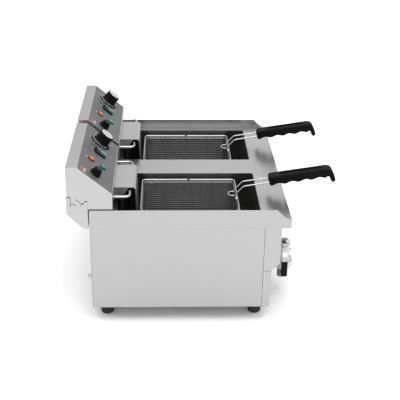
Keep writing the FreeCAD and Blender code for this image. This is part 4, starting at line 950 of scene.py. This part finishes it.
class FRYER_OT_markings(bpy.types.Operator):
    """Print the dial's ticks and figures and stick on the plain labels"""

    bl_idname = "fryer.markings"
    bl_label = "Printed marks"

    def execute(self, context):
        count = context.scene.fryer_sizes.dial_ticks
        for side in SIDES:
            body, place = f"head_{side}", on_slope(side, *KNOB_AT)
            start, end = math.radians(230), math.radians(-50)
            ticks = grown("dial_ticks", [([Vector()], False)],
                          {"Count": count, "Radius": 28.6, "Start": start,
                           "Spread": (end - start) / (count - 1), "Bar": (2.4, 0.6, 0.12),
                           "Finish": finish("white_ink")}, place @ Matrix.Translation((0, 0, 0.06)))
            made = [ticks]
            for number, value in enumerate(range(60, 201, 20)):
                angle = start + (end - start) * number / 7
                at = (FIGURE_REACH * math.cos(angle), FIGURE_REACH * math.sin(angle), 0.05)
                if abs(at[1]) > FIGURE_LIMIT:
                    continue
                here = place @ Matrix.Translation(at)
                made.append(lettering(str(value), 3.0, here, "white_ink"))
            for words, across, down in (("HEAT", LAMPS_AT["amber"][0], 18.5), ("ON", ROCKER_AT[0], 27.5)):
                made.append(lettering(words, 3.4, on_slope(side, across, down, 0.05), "white_ink"))
            add_piece(f"dial_marks_{side}", joined(made), body, "fascia_grey")
            label = [rounded_box(16, 13, 1.2, height) for height in (0.02, 0.14)]
            solid_piece(f"label_ground_{side}", [(label, on_slope(side, *LABEL_AT))], body, "fascia_grey",
                        "pale_label")
            band = [rounded_box(14.8, 7.4, 0.6, height) for height in (0.1, 0.2)]
            solid_piece(f"label_band_{side}",
                        [(band, on_slope(side, *LABEL_AT) @ Matrix.Translation((0, 2.2, 0)))], body,
                        "fascia_grey", "red_ink")
        return {"FINISHED"}


class FRYER_OT_resets(bpy.types.Operator):
    """Turn each reset button and its stepped collar"""

    bl_idname = "fryer.resets"
    bl_label = "Reset buttons"

    def execute(self, context):
        for side in SIDES:
            place = on_slope(side, *RESET_AT)
            collar = turned(((12.4, 0.02), (12.9, 0.6), (12.9, 2.2), (12.4, 2.6), (12.3, 3.0, 0.5),
                             (12.3, 6.2, 0.5), (11.9, 7.2), (11.2, 7.9), (10.4, 7.9), (10.25, 7.4),
                             (10.2, 1.0)), 96, 32)
            solid_piece(f"reset_ring_{side}", [(collar, place)], f"head_{side}", "black_plastic",
                        "satin_black", f"reset_collar_{side}")
            cap = turned(((9.6, -3.6), (9.9, -3.2), (9.9, 12.6), (9.7, 14.2), (8.9, 15.3), (7.6, 15.8),
                          (4.4, 15.4), (0.6, 15.2)))
            solid_piece(f"reset_cap_{side}", [(cap, place)], f"reset_{side}", "gloss_black",
                        "shiny_black", f"reset_button_{side}")
        return {"FINISHED"}


CHEEK_OUTLINES = (
    ((-49.6, 319.8), (-42, 319.8), (-40, 317.8), (-40, 297.5), (-38.4, 293.6), (-34.5, 292),
     (-30.6, 293.6), (-29, 297.5), (-29.2, 301.5)),
    ((-18.1, 297.5), (-17.1, 302.5), (-14.1, 305.4), (-11.1, 302.5), (-9.0, 308), (-7.1, 309.8),
     (-3.6, 309.8), (-2.8, 308)))


class FRYER_OT_seams(bpy.types.Operator):
    """Paint shadow into the open joints between the sheets, under the worktop's skirt and round the hinge
    cheeks, as thin dark strips
    """

    bl_idname = "fryer.seams"
    bl_label = "Sheet joints"

    def execute(self, context):
        for side, way in (("left", -1), ("right", 1)):
            across = 138.75 * way
            low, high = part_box(f"side_panel_{side}")
            bottom, seam = low.z / MM, 391.9
            # Painted shadow lines: down the joint of the side and front panels, along the underside of the
            # worktop's skirt, and along the nose's bottom edge.
            runs = [[(across, seam, bottom + 1), (across, seam, 150), (across, seam, 243.6)],
                    [(across + 0.35 * way, 2, 243.7), (across + 0.35 * way, 200, 243.7),
                     (across + 0.35 * way, 429, 243.7)],
                    [(across, seam, 132), (across, seam + 9, 132), (across, 410, 132)]]
            joint = wires(side, [(run, False) for run in runs], 0.9, 0.2, "gap_shadow", 6)
            add_piece(f"panel_gap_shadows_{side}", joint, "cabinet", "stainless")
        for side in SIDES:
            # Painted shadow lines in the gaps round the hinge bracket's cheeks.
            runs = [[(138.4 * way, *point) for point in outline]
                    for way in (-1, 1) for outline in CHEEK_OUTLINES]
            joint = wires(side, [(run, False) for run in runs], 0.8, 0.2, "gap_shadow", 6)
            add_piece(f"hinge_gap_shadows_{side}", joint, "cabinet", "stainless")
        return {"FINISHED"}


class FRYER_OT_stage(bpy.types.Operator):
    """Set the pale floor, the soft light and the camera"""

    bl_idname = "fryer.stage"
    bl_label = "Stage"

    def execute(self, context):
        scene = context.scene
        scene.view_settings.view_transform = "Standard"
        world = bpy.data.worlds.new("soft_room")
        world.use_nodes = True
        tree = world.node_tree
        toward = add_node(tree, "ShaderNodeTexCoord", output="Generated")
        east, north, upward = (add_node(tree, "ShaderNodeSeparateXYZ", {"Vector": toward}, axis)
                               for axis in "XYZ")
        gap = (north.math("ARCTAN2", east) * 5 + 0.6).math("SINE") * 6 - 3.6
        band = gap.clamped() * (1 - upward.math("ABSOLUTE") * 1.6).clamped()
        seen = add_node(tree, "ShaderNodeLightPath", output="Is Camera Ray")
        strength = (upward.clamped() * 0.6 + 0.86) * (1 - band * 0.7) * (1 - seen) + seen * 1.1
        feed(tree, tree.nodes["Background"].inputs["Strength"], strength)
        feed(tree, tree.nodes["Background"].inputs["Color"], (1, 1, 1, 1))
        scene.world = world

        ground = bmesh.new()
        bmesh.ops.create_grid(ground, x_segments=1, y_segments=1, size=40)
        data = bpy.data.meshes.new("floor")
        ground.to_mesh(data)
        ground.free()
        floor = bpy.data.objects.new("floor", data)
        paper = Finish("floor_paper")
        fibre = paper.noise(300.0, 2.0)
        paper.set(Base_Color=paper.shade(fibre, (0.9, 0.9, 0.9), (0.93, 0.93, 0.93)), Roughness=0.9,
                  Specular_IOR_Level=0.0)
        data.materials.append(paper.material)
        scene.collection.objects.link(floor)

        lamp = bpy.data.lights.new("overhead", "AREA")
        lamp.energy, lamp.size = 60, 3.0
        overhead = bpy.data.objects.new("overhead", lamp)
        overhead.location = (-0.6, -0.3, 3.2)
        overhead.rotation_euler = (-overhead.location).to_track_quat("-Z", "Y").to_euler()
        scene.collection.objects.link(overhead)

        lens = bpy.data.cameras.new("view")
        lens.lens, lens.sensor_width = 76.7, 36
        lens.shift_x, lens.shift_y = 0.0258, -0.0212
        camera = bpy.data.objects.new("view", lens)
        camera.location = (-1.972, 0.087, 1.123)
        aim = Vector((0, 0.02855, 0.2)) - camera.location
        roll = Matrix.Rotation(math.radians(0.63), 4, "Z")
        camera.rotation_euler = (aim.to_track_quat("-Z", "Y").to_matrix().to_4x4() @ roll).to_euler()
        scene.collection.objects.link(camera)
        scene.camera = camera
        return {"FINISHED"}


OPERATORS = (FRYER_OT_frame_finishes, FRYER_OT_basket_walls, FRYER_OT_basket_wires, FRYER_OT_grips,
             FRYER_OT_knobs, FRYER_OT_switches, FRYER_OT_lamps, FRYER_OT_resets, FRYER_OT_markings,
             FRYER_OT_seams, FRYER_OT_stage)


class FRYER_PT_panel(bpy.types.Panel):
    """Sizes, colours and pieces of the deep fryer"""

    bl_label = "Deep fryer"
    bl_space_type = "VIEW_3D"
    bl_region_type = "UI"
    bl_category = "Fryer"

    def draw(self, context):
        for group in (context.scene.fryer_sizes, context.scene.fryer_colours):
            box = self.layout.box()
            for name in group.__annotations__:
                box.prop(group, name)
        for operator in OPERATORS:
            self.layout.operator(operator.bl_idname)


def register():
    for item in (FryerSizes, FryerColours, *OPERATORS, FRYER_PT_panel):
        bpy.utils.register_class(item)
    bpy.types.Scene.fryer_sizes = bpy.props.PointerProperty(type=FryerSizes)
    bpy.types.Scene.fryer_colours = bpy.props.PointerProperty(type=FryerColours)


def unregister():
    del bpy.types.Scene.fryer_colours
    del bpy.types.Scene.fryer_sizes
    for item in (FRYER_PT_panel, *reversed(OPERATORS), FryerColours, FryerSizes):
        bpy.utils.unregister_class(item)


def main():
    register()
    bpy.ops.fryer.frame_finishes()
    bpy.ops.fryer.basket_walls()
    bpy.ops.fryer.basket_wires()
    bpy.ops.fryer.grips()
    bpy.ops.fryer.knobs()
    bpy.ops.fryer.switches()
    bpy.ops.fryer.lamps()
    bpy.ops.fryer.resets()
    bpy.ops.fryer.markings()
    bpy.ops.fryer.seams()
    bpy.ops.fryer.stage()


if __name__ == "__main__":
    main()
